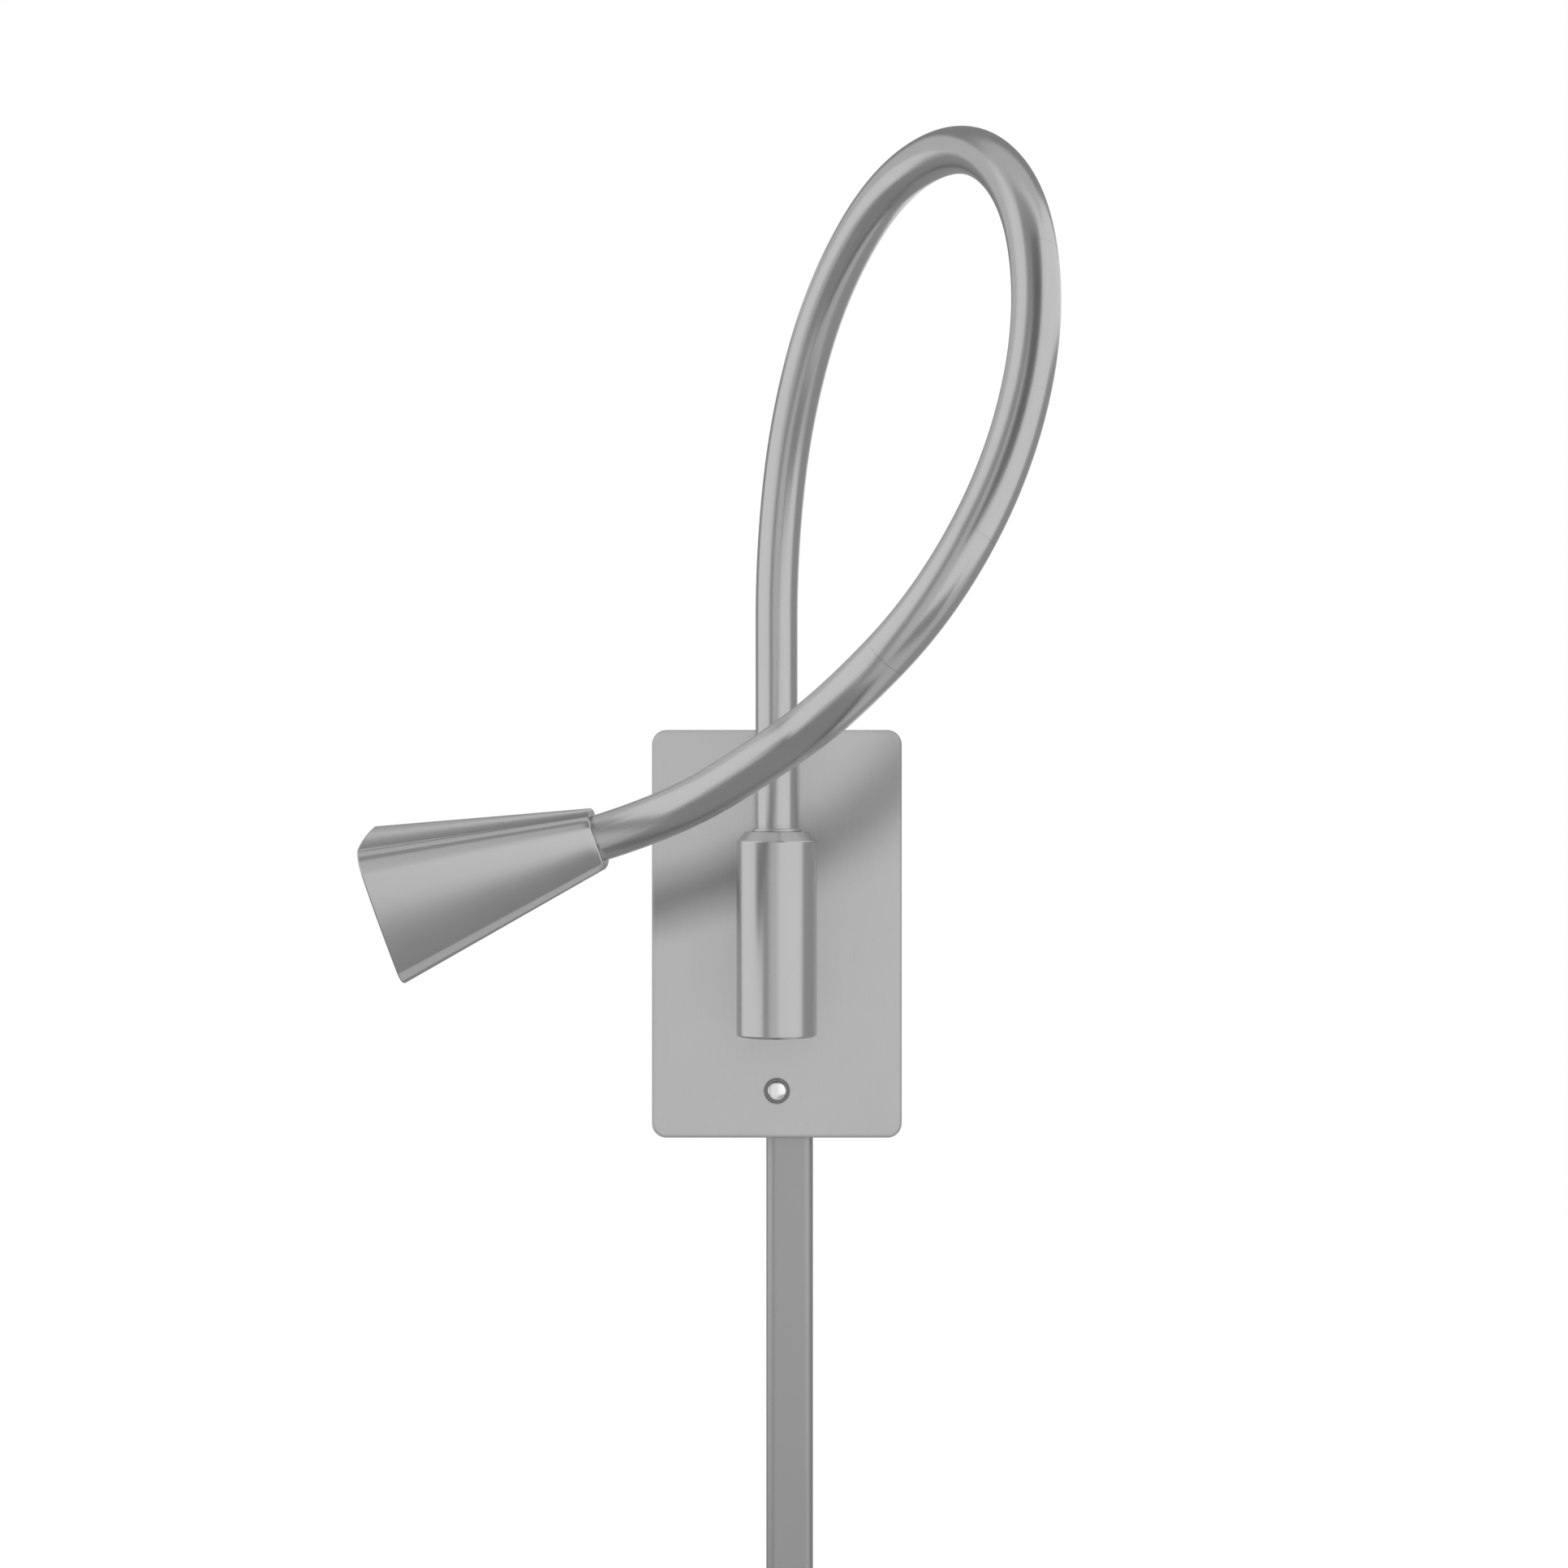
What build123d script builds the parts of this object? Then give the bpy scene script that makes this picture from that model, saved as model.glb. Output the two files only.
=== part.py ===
from build123d import *
import math
import os

# Plug-in wall lamp: a tray-shaped wall plate carries a round post, and a smooth flexible arm
# climbs out of the post, loops forward and ends in a tapered square lamp head.
# Millimetres. The origin is on the wall at the plate's centre, +Z is up, +X is right as seen
# from the room, and the room is on the -Y side. "Depth" is the distance out from the wall.

# Wall plate: a drawn tray, open at the back
PLATE_W = 70.0
PLATE_H = 114.3
PLATE_DEPTH = 16.0
PLATE_WALL = 1.5
PLATE_CORNER_R = 4.0
PLATE_EDGE_R = 1.2

# Strap that is screwed to the wall, with a bent tab on each side for the plate's screws
STRAP_THICKNESS = 1.5
STRAP_ROOM_X = 4.5
STRAP_ROOM_Z = 6.65
STRAP_CORNER_R = 5.0
STRAP_GAP = 0.3
TAB_H = 14.0
TAB_REACH = 11.0
WINDOW_W = 20.0
WINDOW_H = 26.0
WALL_HOLE_D = 4.5
WALL_HOLE_SPACING_X = 46.0
WALL_HOLE_SPACING_Z = 80.0
CORD_SLOT_W = 15.0
CORD_SLOT_TOP = -30.0

# Side screws of the plate, countersunk flush in its walls
SIDE_SCREW_D = 3.0
SIDE_SCREW_HEAD_D = 5.0
SIDE_SCREW_HEAD_T = 1.0
SIDE_SCREW_SLOT_W = 0.8
SIDE_SCREW_SLOT_DEPTH = 0.6
SIDE_SCREW_L = 4.5
SIDE_SCREW_DEPTH = 6.5
SIDE_SCREW_CLEARANCE = 0.15

# Lamp driver on its board, upper half of the tray
BOARD_W = 34.0
BOARD_H = 30.0
BOARD_T = 1.6
BOARD_R = 1.0
BOARD_BELOW_STRAP_TOP = 4.0
BOARD_SPACER_D = 4.5
BOARD_SPACER_L = 2.5
BOARD_SCREW_INSET = 3.0
BOARD_SCREW_D = 2.0
BOARD_SCREW_HEAD_D = 3.8
BOARD_SCREW_HEAD_T = 1.4
TRANSFORMER_SIZE = (14.0, 12.0, 7.0)
TRANSFORMER_PLACE = (-6.0, 4.0)
BOBBIN_SHARE = 0.7
CORE_SHARE = 0.6
CAPACITOR_D = 6.0
CAPACITOR_L = 12.0
CAPACITOR_PLACES = ((9.0, 7.0), (9.0, -2.0))
CHIP_SIZE = (5.0, 4.0, 1.6)
CHIP_PLACES = ((-9.0, -8.0), (-1.0, -8.0), (8.0, -9.0))
TERMINAL_SIZE = (11.0, 8.0, 6.5)
TERMINAL_INSET = 4.5
TERMINAL_Z = -20.0
TERMINAL_WAY_D = 3.0
TERMINAL_WAYS = 2

# Push button below the post
SWITCH_ABOVE_EDGE = 13.15
SWITCH_HOLE_D = 7.0
SWITCH_HOLE_CHAMFER = 0.35
COLLAR_CLEARANCE = 0.1
COLLAR_RECESS = 0.4
COLLAR_FLANGE_D = 10.0
COLLAR_FLANGE_T = 1.0
BUTTON_D = 5.0
BUTTON_CLEARANCE = 0.15
BUTTON_PROUD = 0.6
BUTTON_DOME = 0.35
BUTTON_SHOULDER_D = 6.0
BUTTON_SHOULDER_T = 0.8
BUTTON_REST_GAP = 0.1
BUTTON_TRAVEL = 1.2
SWITCH_BODY_SIZE = 10.0
SWITCH_BODY_R = 1.0
SWITCH_FLOOR_T = 1.0
SWITCH_CAVITY_CLEARANCE = 0.2
SWITCH_PIN_D = 0.9
SWITCH_PIN_L = 2.0
SWITCH_PIN_PITCH = 5.0
SPRING_D = 4.2
SPRING_WIRE_D = 0.5
SPRING_TURNS = 3
SPRING_SPARE = 0.2

# Post, its stub through the plate and the swivel inside it
POST_D = 22.0
POST_BOTTOM = -27.0
POST_H = 56.0
POST_GAP = 8.0
POST_SHOULDER_H = 2.2
POST_TOP_D = 14.0
POST_FOOT_CHAMFER = 0.5
POST_CAVITY_D = 17.0
POST_CAP_T = 3.0
POST_CAP_RECESS_D = 6.0
POST_CAP_RECESS = 0.8
LEDGE_T = 2.5
LEDGE_HOLE_D = 8.0
STUB_D = 10.0
STUB_BORE_D = 6.5
STUB_COLLAR_D = 14.0
STUB_TAIL = 6.5
STUB_HOLE_CLEARANCE = 0.1
STUB_NUT_FLATS = 14.0
STUB_NUT_T = 3.0
STUB_WASHER_D = 17.0
STUB_WASHER_T = 0.8
CAVITY_ABOVE_STUB = 1.5
BUSH_WALL = 0.7
BUSH_L = 10.0
BUSH_LIP_T = 0.8
BUSH_LIP_D = 13.6
RUNNING_GAP = 0.05
THRUST_T = 1.0
THRUST_GAP = 0.2
STEM_BORE_D = 6.5
STEM_PROUD = 1.2
CLIP_T = 1.0
CLIP_GROOVE_DEPTH = 0.8
CLIP_D = 12.4
CLIP_MOUTH = 6.0
CLIP_BELOW_BUSH = 0.3
STOP_PIN_D = 2.0
STOP_PIN_ENGAGE = 1.2
STOP_GROOVE_GAP = 0.3
STOP_PIN_ABOVE_LEDGE = 4.5
STOP_PIN_BEARING = 90.0
SWIVEL_TO_LEFT = 35.0
SWIVEL_TO_RIGHT = 65.0
STOP_SPARE_ANGLE = 3.0

# Flexible arm. Each step is a corner of the route, measured from the arm's foot on the stem,
# and each corner is rounded by an arc. Pieces are cut at the middle of the straight runs.
TUBE_D = 11.5
TUBE_WALL = 1.75
ARM_STEPS = [
    (0, 0, 0),
    (0, 0, 37),
    (0, -3.5, 74),
    (4, -12.5, 110),
    (13.5, -29, 142),
    (29, -54.5, 165),
    (46.5, -86, 168.5),
    (58.5, -114, 150),
    (61, -129.5, 117.5),
    (53, -137, 83),
    (36, -141, 51.5),
    (14.5, -130, 29),
    (-2, -102, 17.3),
    (-25, -81.1, 3.5),
    (-43.5, -79.5, -2.3),
]
BEND_SHARE = 0.45

# Lamp head: a rounded square shell that tapers to the arm, turned about its own axis. Its
# sides bow outwards a little between the corners.
HEAD_L = 55.0
HEAD_SMALL_SIDE = 13.0
HEAD_SMALL_R = 2.6
HEAD_SMALL_BOW = 0.7
HEAD_MOUTH_SIDE = 34.2
HEAD_MOUTH_R = 4.5
HEAD_MOUTH_BOW = 0.9
HEAD_ROLL = 11.0
HEAD_WALL = 1.2
HEAD_INNER_MIN_R = 0.4
HEAD_END_T = 5.0
HEAD_END_CHAMFER = 0.4
FERRULE_SEAT_DEPTH = 2.0
FERRULE_THREAD_D = 9.6
FERRULE_BORE_D = 6.5
FERRULE_PAST_NUT = 0.8
HEAD_NUT_D = 12.0
HEAD_NUT_T = 3.5
HEAD_NUT_SLOT_W = 2.0
HEAD_FIT = 0.15
SINK_L = 20.0
SINK_BORE_D = 6.5
SINK_SLOTS = 4
SINK_SLOT_W = 2.0
SINK_SLOT_PITCH = 4.5
SINK_SLOT_DEPTH = 11.0
LED_BOARD_T = 1.6
LED_BOARD_MARGIN = 1.0
LED_BOARD_R = 2.0
LED_CHIP_SIZE = 6.0
LED_CHIP_T = 1.0
LED_CHIP_CHAMFER = 0.2
LENS_GAP = 0.4
LENS_L = 8.5
LENS_FOOT_D = 9.0
LENS_FACE_D = 22.0
LENS_FLANGE_D = 25.0
LENS_FLANGE_T = 1.5
LENS_RING_T = 3.5
LENS_RECESS = 8.5
LENS_CLEARANCE = 0.15

# Lead from the driver to the lamp, inside the stub, the post and the arm
LEAD_D = 2.0
LEAD_STUB_R = 6.0
LEAD_POST_R = 7.0

# Two-part cord cover that runs down the wall from the plate
COVER_X = 3.6
COVER_W = 13.2
COVER_DEPTH = 11.0
COVER_WALL = 0.9
COVER_CORNER_R = 2.7
COVER_L = 305.0
COVER_UNDER_PLATE = 4.0
COVER_WALL_GAP = 0.2
COVER_NOTCH_GAP = 0.3
CHANNEL_BASE_T = 1.2
CHANNEL_LIP_T = 1.0
CHANNEL_LIP_H = 4.5
CHANNEL_BARB = 0.35
CHANNEL_GAP = 0.15
CHANNEL_HOLE_D = 3.5
CHANNEL_HOLE_SPACING = 240.0

# Places that follow from the sizes above
PLATE_INNER = PLATE_DEPTH - PLATE_WALL
STRAP_W = PLATE_W - 2 * PLATE_WALL - 2 * STRAP_ROOM_X
STRAP_H = PLATE_H - 2 * PLATE_WALL - 2 * STRAP_ROOM_Z
TERMINAL_X = -STRAP_W / 2 + TERMINAL_INSET + TERMINAL_SIZE[0] / 2
BOARD_Z = STRAP_H / 2 - BOARD_BELOW_STRAP_TOP - BOARD_H / 2
SWITCH_Z = -PLATE_H / 2 + SWITCH_ABOVE_EDGE
POST_AXIS_DEPTH = PLATE_DEPTH + POST_GAP + POST_D / 2
POST_TOP = POST_BOTTOM + POST_H
LEDGE_BOTTOM = STUB_D / 2 + CAVITY_ABOVE_STUB
LEDGE_TOP = LEDGE_BOTTOM + LEDGE_T
STEM_BOTTOM = LEDGE_TOP + THRUST_T
STEM_TOP = POST_TOP + BUSH_LIP_T + STEM_PROUD
BUSH_BORE_D = TUBE_D + 2 * RUNNING_GAP
BUSH_D = BUSH_BORE_D + 2 * BUSH_WALL
CLIP_TOP = POST_TOP - BUSH_L - CLIP_BELOW_BUSH
STOP_PIN_Z = LEDGE_TOP + STOP_PIN_ABOVE_LEDGE
TUBE_BORE_D = TUBE_D - 2 * TUBE_WALL
COLLAR_D = SWITCH_HOLE_D - 2 * COLLAR_CLEARANCE
SWITCH_FRONT = PLATE_INNER - COLLAR_FLANGE_T
SHOULDER_FRONT = SWITCH_FRONT - BUTTON_REST_GAP
SHOULDER_BACK = SHOULDER_FRONT - BUTTON_SHOULDER_T
SPRING_SOLID_L = (SPRING_TURNS + 1) * SPRING_WIRE_D
SWITCH_FLOOR = SHOULDER_BACK - BUTTON_TRAVEL - SPRING_SOLID_L - SPRING_SPARE
SWITCH_BACK = SWITCH_FLOOR - SWITCH_FLOOR_T
BOARD_BACK = STRAP_THICKNESS + BOARD_SPACER_L
BOARD_FRONT = BOARD_BACK + BOARD_T
COVER_TOP = -PLATE_H / 2 + COVER_UNDER_PLATE
FERRULE_L = HEAD_END_T + HEAD_NUT_T + FERRULE_PAST_NUT
LENS_FRONT = HEAD_L - LENS_RECESS
LENS_FOOT = LENS_FRONT - LENS_L
SINK_END = LENS_FOOT - LENS_GAP - LED_CHIP_T - LED_BOARD_T
SINK_START = SINK_END - SINK_L

ARM_FOOT = Vector(0, -POST_AXIS_DEPTH, STEM_TOP)
ARM_ROUTE = [ARM_FOOT + Vector(*step) for step in ARM_STEPS]
HEAD_START = ARM_ROUTE[-1]
HEAD_AXIS = (ARM_ROUTE[-1] - ARM_ROUTE[-2]).normalized()


def slab(sketch, near, far):
    """Extrude a front-view sketch between two depths."""
    return extrude(Plane.XZ.offset(near) * sketch, amount=far - near)


def turned(outline):
    """Revolve a closed outline of (radius, height) points about the Z axis."""
    return revolve(Plane.XZ * make_face(Polyline(*outline, close=True)), axis=Axis.Z)


def on_post(shape):
    """Move a shape from the Z axis to the post's axis."""
    return Pos(0, -POST_AXIS_DEPTH, 0) * shape


def corners(spacing_x, spacing_z):
    """The four corners of a rectangle about the origin."""
    return [(x, z) for x in (-spacing_x / 2, spacing_x / 2) for z in (-spacing_z / 2, spacing_z / 2)]


def across(diameter, x_from, x_to, depth, z):
    """A cylinder that lies along X between two places."""
    rod = Cylinder(diameter / 2, abs(x_to - x_from))
    return Pos((x_from + x_to) / 2, -depth, z) * Rot(0, 90, 0) * rod


def cord_notch():
    """Cut-out in the plate's lower wall for the cord cover, open to the wall."""
    width = COVER_W + 2 * COVER_NOTCH_GAP
    depth = COVER_DEPTH + COVER_NOTCH_GAP
    section = Pos(COVER_X, -PLATE_H / 2) * Rectangle(width, 2 * COVER_UNDER_PLATE)
    notch = slab(section, 0, depth)
    return fillet(notch.edges().filter_by(Axis.Z).sort_by(Axis.Y)[:2], COVER_CORNER_R)


def back_plate():
    """Tray with softened front edges and holes for the stub, button, screws and cord cover."""
    outer = slab(RectangleRounded(PLATE_W, PLATE_H, PLATE_CORNER_R), 0, PLATE_DEPTH)
    outer = fillet(outer.faces().sort_by(Axis.Y)[0].edges(), PLATE_EDGE_R)
    inner_w = PLATE_W - 2 * PLATE_WALL
    inner_h = PLATE_H - 2 * PLATE_WALL
    inner = slab(RectangleRounded(inner_w, inner_h, PLATE_CORNER_R - PLATE_WALL), 0, PLATE_INNER)
    tray = outer - inner
    tray -= slab(Circle(STUB_D / 2 + STUB_HOLE_CLEARANCE), 0, PLATE_DEPTH)
    tray -= slab(Pos(0, SWITCH_Z) * Circle(SWITCH_HOLE_D / 2), 0, PLATE_DEPTH)
    mouth_plane = Plane.XZ.offset(PLATE_DEPTH - SWITCH_HOLE_CHAMFER)
    wide = Pos(0, SWITCH_Z) * Circle(SWITCH_HOLE_D / 2)
    tray -= extrude(mouth_plane * wide, amount=SWITCH_HOLE_CHAMFER, taper=-45)
    for side in (-1, 1):
        tray -= side_screw(side, SIDE_SCREW_CLEARANCE)
    return tray - cord_notch()


def wall_bracket():
    """Flat strap with four wall holes, a wiring window and two side tabs."""
    tab_outer = PLATE_W / 2 - PLATE_WALL - STRAP_GAP
    strap = RectangleRounded(STRAP_W, STRAP_H, STRAP_CORNER_R)
    strap += Rectangle(2 * tab_outer, TAB_H)
    strap -= RectangleRounded(WINDOW_W, WINDOW_H, STRAP_CORNER_R)
    for x, z in corners(WALL_HOLE_SPACING_X, WALL_HOLE_SPACING_Z):
        strap -= Pos(x, z) * Circle(WALL_HOLE_D / 2)
    slot_h = STRAP_H / 2 + CORD_SLOT_TOP
    slot = Pos(COVER_X, CORD_SLOT_TOP - slot_h / 2) * Rectangle(CORD_SLOT_W, slot_h)
    bracket = slab(strap - slot, 0, STRAP_THICKNESS)
    for side in (-1, 1):
        x = side * (tab_outer - STRAP_THICKNESS / 2)
        bracket += slab(Pos(x, 0) * Rectangle(STRAP_THICKNESS, TAB_H), 0, TAB_REACH)
    tapped = across(SIDE_SCREW_D, -tab_outer, tab_outer, SIDE_SCREW_DEPTH, 0)
    for place in board_screw_places():
        bracket -= slab(Pos(*place) * Circle(BOARD_SCREW_D / 2), 0, STRAP_THICKNESS)
    return bracket - tapped


def side_screw(side, clearance=0.0):
    """Countersunk screw in one side of the plate; a clearance widens only its shank."""
    face = side * PLATE_W / 2
    end = face - side * SIDE_SCREW_L
    shank = across(SIDE_SCREW_D + 2 * clearance, face, end, SIDE_SCREW_DEPTH, 0)
    cone = Cone(SIDE_SCREW_D / 2, SIDE_SCREW_HEAD_D / 2, SIDE_SCREW_HEAD_T)
    middle = face - side * SIDE_SCREW_HEAD_T / 2
    return shank + Pos(middle, -SIDE_SCREW_DEPTH, 0) * Rot(0, 90 * side, 0) * cone


def plate_screws():
    """One short slotted screw on each side, through the plate into the bracket's tab."""
    slot = Box(2 * SIDE_SCREW_SLOT_DEPTH, SIDE_SCREW_HEAD_D, SIDE_SCREW_SLOT_W)
    screws = []
    for side in (-1, 1):
        screws.append(side_screw(side) - Pos(side * PLATE_W / 2, -SIDE_SCREW_DEPTH, 0) * slot)
    return screws


def board_screw_places():
    """Centres of the driver board's four screws."""
    inset_w = BOARD_W - 2 * BOARD_SCREW_INSET
    inset_h = BOARD_H - 2 * BOARD_SCREW_INSET
    return [(x, BOARD_Z + z) for x, z in corners(inset_w, inset_h)]


def on_board(place):
    """A place on the driver board, measured from the board's centre."""
    return Pos(place[0], BOARD_Z + place[1])


def driver_board():
    """Circuit board of the lamp driver with its four screw holes."""
    outline = Pos(0, BOARD_Z) * RectangleRounded(BOARD_W, BOARD_H, BOARD_R)
    for place in board_screw_places():
        outline -= Pos(*place) * Circle(BOARD_SCREW_D / 2)
    return slab(outline, BOARD_BACK, BOARD_FRONT)


def board_spacers():
    """Tubes that hold the board off the bracket."""
    ring = Circle(BOARD_SPACER_D / 2) - Circle(BOARD_SCREW_D / 2)
    return [slab(Pos(*place) * ring, STRAP_THICKNESS, BOARD_BACK) for place in board_screw_places()]


def board_screws():
    """Screws through the board and spacers into the bracket."""
    head_top = BOARD_FRONT + BOARD_SCREW_HEAD_T
    screws = []
    for place in board_screw_places():
        shank = slab(Pos(*place) * Circle(BOARD_SCREW_D / 2), 0, BOARD_FRONT)
        head = slab(Pos(*place) * Circle(BOARD_SCREW_HEAD_D / 2), BOARD_FRONT, head_top)
        screws.append(shank + head)
    return screws


def driver_transformer():
    """Transformer: a long bobbin crossed by its core."""
    width, height, tall = TRANSFORMER_SIZE
    bobbin = Rectangle(width, height * BOBBIN_SHARE)
    core = Rectangle(width * CORE_SHARE, height)
    return slab(on_board(TRANSFORMER_PLACE) * (bobbin + core), BOARD_FRONT, BOARD_FRONT + tall)


def driver_capacitors():
    """Electrolytic capacitors that lie flat on the board."""
    half = CAPACITOR_L / 2
    depth = BOARD_FRONT + CAPACITOR_D / 2
    return [across(CAPACITOR_D, x - half, x + half, depth, BOARD_Z + z) for x, z in CAPACITOR_PLACES]


def driver_chips():
    """Small surface parts of the driver."""
    width, height, tall = CHIP_SIZE
    outline = Rectangle(width, height)
    top = BOARD_FRONT + tall
    return [slab(on_board(place) * outline, BOARD_FRONT, top) for place in CHIP_PLACES]


def cord_terminals():
    """Terminal block on the bracket where the supply cord's wires end."""
    width, height, tall = TERMINAL_SIZE
    outline = Pos(TERMINAL_X, TERMINAL_Z) * Rectangle(width, height)
    block = slab(outline, STRAP_THICKNESS, STRAP_THICKNESS + tall)
    pitch = width / TERMINAL_WAYS
    for way in range(TERMINAL_WAYS):
        x = TERMINAL_X + (way - (TERMINAL_WAYS - 1) / 2) * pitch
        bore = Cylinder(TERMINAL_WAY_D / 2, height)
        block -= Pos(x, -STRAP_THICKNESS - tall / 2, TERMINAL_Z) * bore
    return block


def switch_collar():
    """Dark collar in the plate's hole that guides the button."""
    ring = Circle(COLLAR_D / 2) - Circle(BUTTON_D / 2 + BUTTON_CLEARANCE)
    flange = Circle(COLLAR_FLANGE_D / 2) - Circle(BUTTON_D / 2 + BUTTON_CLEARANCE)
    sleeve = slab(Pos(0, SWITCH_Z) * ring, SWITCH_FRONT, PLATE_DEPTH - COLLAR_RECESS)
    return sleeve + slab(Pos(0, SWITCH_Z) * flange, SWITCH_FRONT, PLATE_INNER)


def switch_body():
    """Square switch housing with the cavity of the button's shoulder and spring, and its pins."""
    square = RectangleRounded(SWITCH_BODY_SIZE, SWITCH_BODY_SIZE, SWITCH_BODY_R)
    body = slab(Pos(0, SWITCH_Z) * square, SWITCH_BACK, SWITCH_FRONT)
    cavity_r = BUTTON_SHOULDER_D / 2 + SWITCH_CAVITY_CLEARANCE
    body -= slab(Pos(0, SWITCH_Z) * Circle(cavity_r), SWITCH_FLOOR, SWITCH_FRONT)
    for x, z in corners(SWITCH_PIN_PITCH, SWITCH_PIN_PITCH):
        pin = Pos(x, SWITCH_Z + z) * Circle(SWITCH_PIN_D / 2)
        body += slab(pin, SWITCH_BACK - SWITCH_PIN_L, SWITCH_BACK)
    return body


def switch_button():
    """Domed cap on a shoulder that keeps it behind the collar."""
    cap = slab(Pos(0, SWITCH_Z) * Circle(BUTTON_D / 2), SHOULDER_FRONT, PLATE_DEPTH + BUTTON_PROUD)
    cap = fillet(cap.edges().sort_by(Axis.Y)[0], BUTTON_DOME)
    shoulder = Pos(0, SWITCH_Z) * Circle(BUTTON_SHOULDER_D / 2)
    return cap + slab(shoulder, SHOULDER_BACK, SHOULDER_FRONT)


def switch_spring():
    """Coil spring between the switch floor and the button's shoulder."""
    coil_r = (SPRING_D - SPRING_WIRE_D) / 2
    height = SHOULDER_BACK - SWITCH_FLOOR - SPRING_WIRE_D
    path = Helix(pitch=height / SPRING_TURNS, height=height, radius=coil_r)
    wire = Plane(origin=path @ 0, z_dir=path % 0) * Circle(SPRING_WIRE_D / 2)
    coil = sweep(wire, path=path, is_frenet=True)
    return Pos(0, -SWITCH_FLOOR - SPRING_WIRE_D / 2, SWITCH_Z) * Rot(90, 0, 0) * coil


def post_stub():
    """Hollow threaded stub from the tray into the post, with a collar between them."""
    tube = slab(Circle(STUB_D / 2), PLATE_INNER - STUB_TAIL, POST_AXIS_DEPTH - POST_CAVITY_D / 2)
    collar = slab(Circle(STUB_COLLAR_D / 2), PLATE_DEPTH, POST_AXIS_DEPTH)
    collar -= on_post(Cylinder(POST_D / 2, 2 * STUB_COLLAR_D))
    cavity = on_post(Cylinder(POST_CAVITY_D / 2, 2 * STUB_COLLAR_D))
    return tube + collar - cavity - slab(Circle(STUB_BORE_D / 2), 0, POST_AXIS_DEPTH)


def stub_washer():
    """Lock washer behind the plate's front."""
    ring = Circle(STUB_WASHER_D / 2) - Circle(STUB_D / 2)
    return slab(ring, PLATE_INNER - STUB_WASHER_T, PLATE_INNER)


def stub_nut():
    """Hexagon nut that clamps the stub to the plate."""
    top = PLATE_INNER - STUB_WASHER_T
    hexagon = RegularPolygon(STUB_NUT_FLATS / 2, 6, major_radius=False)
    return slab(hexagon - Circle(STUB_D / 2), top - STUB_NUT_T, top)


def post():
    """Turned post: lower wiring cavity, ledge, upper bore for the swivel and a conical shoulder."""
    cavity_r = POST_CAVITY_D / 2
    outline = [
        (cavity_r, POST_BOTTOM),
        (POST_D / 2 - POST_FOOT_CHAMFER, POST_BOTTOM),
        (POST_D / 2, POST_BOTTOM + POST_FOOT_CHAMFER),
        (POST_D / 2, POST_TOP - POST_SHOULDER_H),
        (POST_TOP_D / 2, POST_TOP),
        (BUSH_D / 2, POST_TOP),
        (BUSH_D / 2, LEDGE_TOP),
        (LEDGE_HOLE_D / 2, LEDGE_TOP),
        (LEDGE_HOLE_D / 2, LEDGE_BOTTOM),
        (cavity_r, LEDGE_BOTTOM),
    ]
    body = on_post(turned(outline))
    body -= slab(Circle(STUB_D / 2), PLATE_DEPTH, POST_AXIS_DEPTH - LEDGE_HOLE_D / 2)
    return body - stop_pin()


def post_cap():
    """Plug in the foot of the post."""
    outline = [
        (0, POST_BOTTOM + POST_CAP_RECESS),
        (POST_CAP_RECESS_D / 2, POST_BOTTOM + POST_CAP_RECESS),
        (POST_CAP_RECESS_D / 2, POST_BOTTOM),
        (POST_CAVITY_D / 2, POST_BOTTOM),
        (POST_CAVITY_D / 2, POST_BOTTOM + POST_CAP_T),
        (0, POST_BOTTOM + POST_CAP_T),
    ]
    return on_post(turned(outline))


def swivel_bushing():
    """Flanged bush in the top of the post; its thin lip shows round the arm's foot."""
    outline = [
        (BUSH_BORE_D / 2, POST_TOP - BUSH_L),
        (BUSH_D / 2, POST_TOP - BUSH_L),
        (BUSH_D / 2, POST_TOP),
        (BUSH_LIP_D / 2, POST_TOP),
        (BUSH_LIP_D / 2, POST_TOP + BUSH_LIP_T),
        (BUSH_BORE_D / 2, POST_TOP + BUSH_LIP_T),
    ]
    return on_post(turned(outline))


def thrust_washer():
    """Friction washer on the post's ledge that the stem stands on."""
    outline = [
        (STEM_BORE_D / 2, LEDGE_TOP),
        (BUSH_D / 2 - THRUST_GAP, LEDGE_TOP),
        (BUSH_D / 2 - THRUST_GAP, STEM_BOTTOM),
        (STEM_BORE_D / 2, STEM_BOTTOM),
    ]
    return on_post(turned(outline))


def stop_pin():
    """Pin through the back of the post that reaches into the stem's stop groove."""
    inner_end = TUBE_D / 2 - STOP_PIN_ENGAGE
    length = POST_D / 2 - inner_end
    pin = Cylinder(STOP_PIN_D / 2, length, align=(Align.CENTER, Align.CENTER, Align.MIN))
    pin &= Pos(0, 0, -inner_end) * Rot(0, 90, 0) * Cylinder(POST_D / 2, 2 * POST_D)
    lying = Pos(inner_end, 0, STOP_PIN_Z) * Rot(0, 90, 0) * pin
    return on_post(Rot(0, 0, STOP_PIN_BEARING) * lying)


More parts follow.
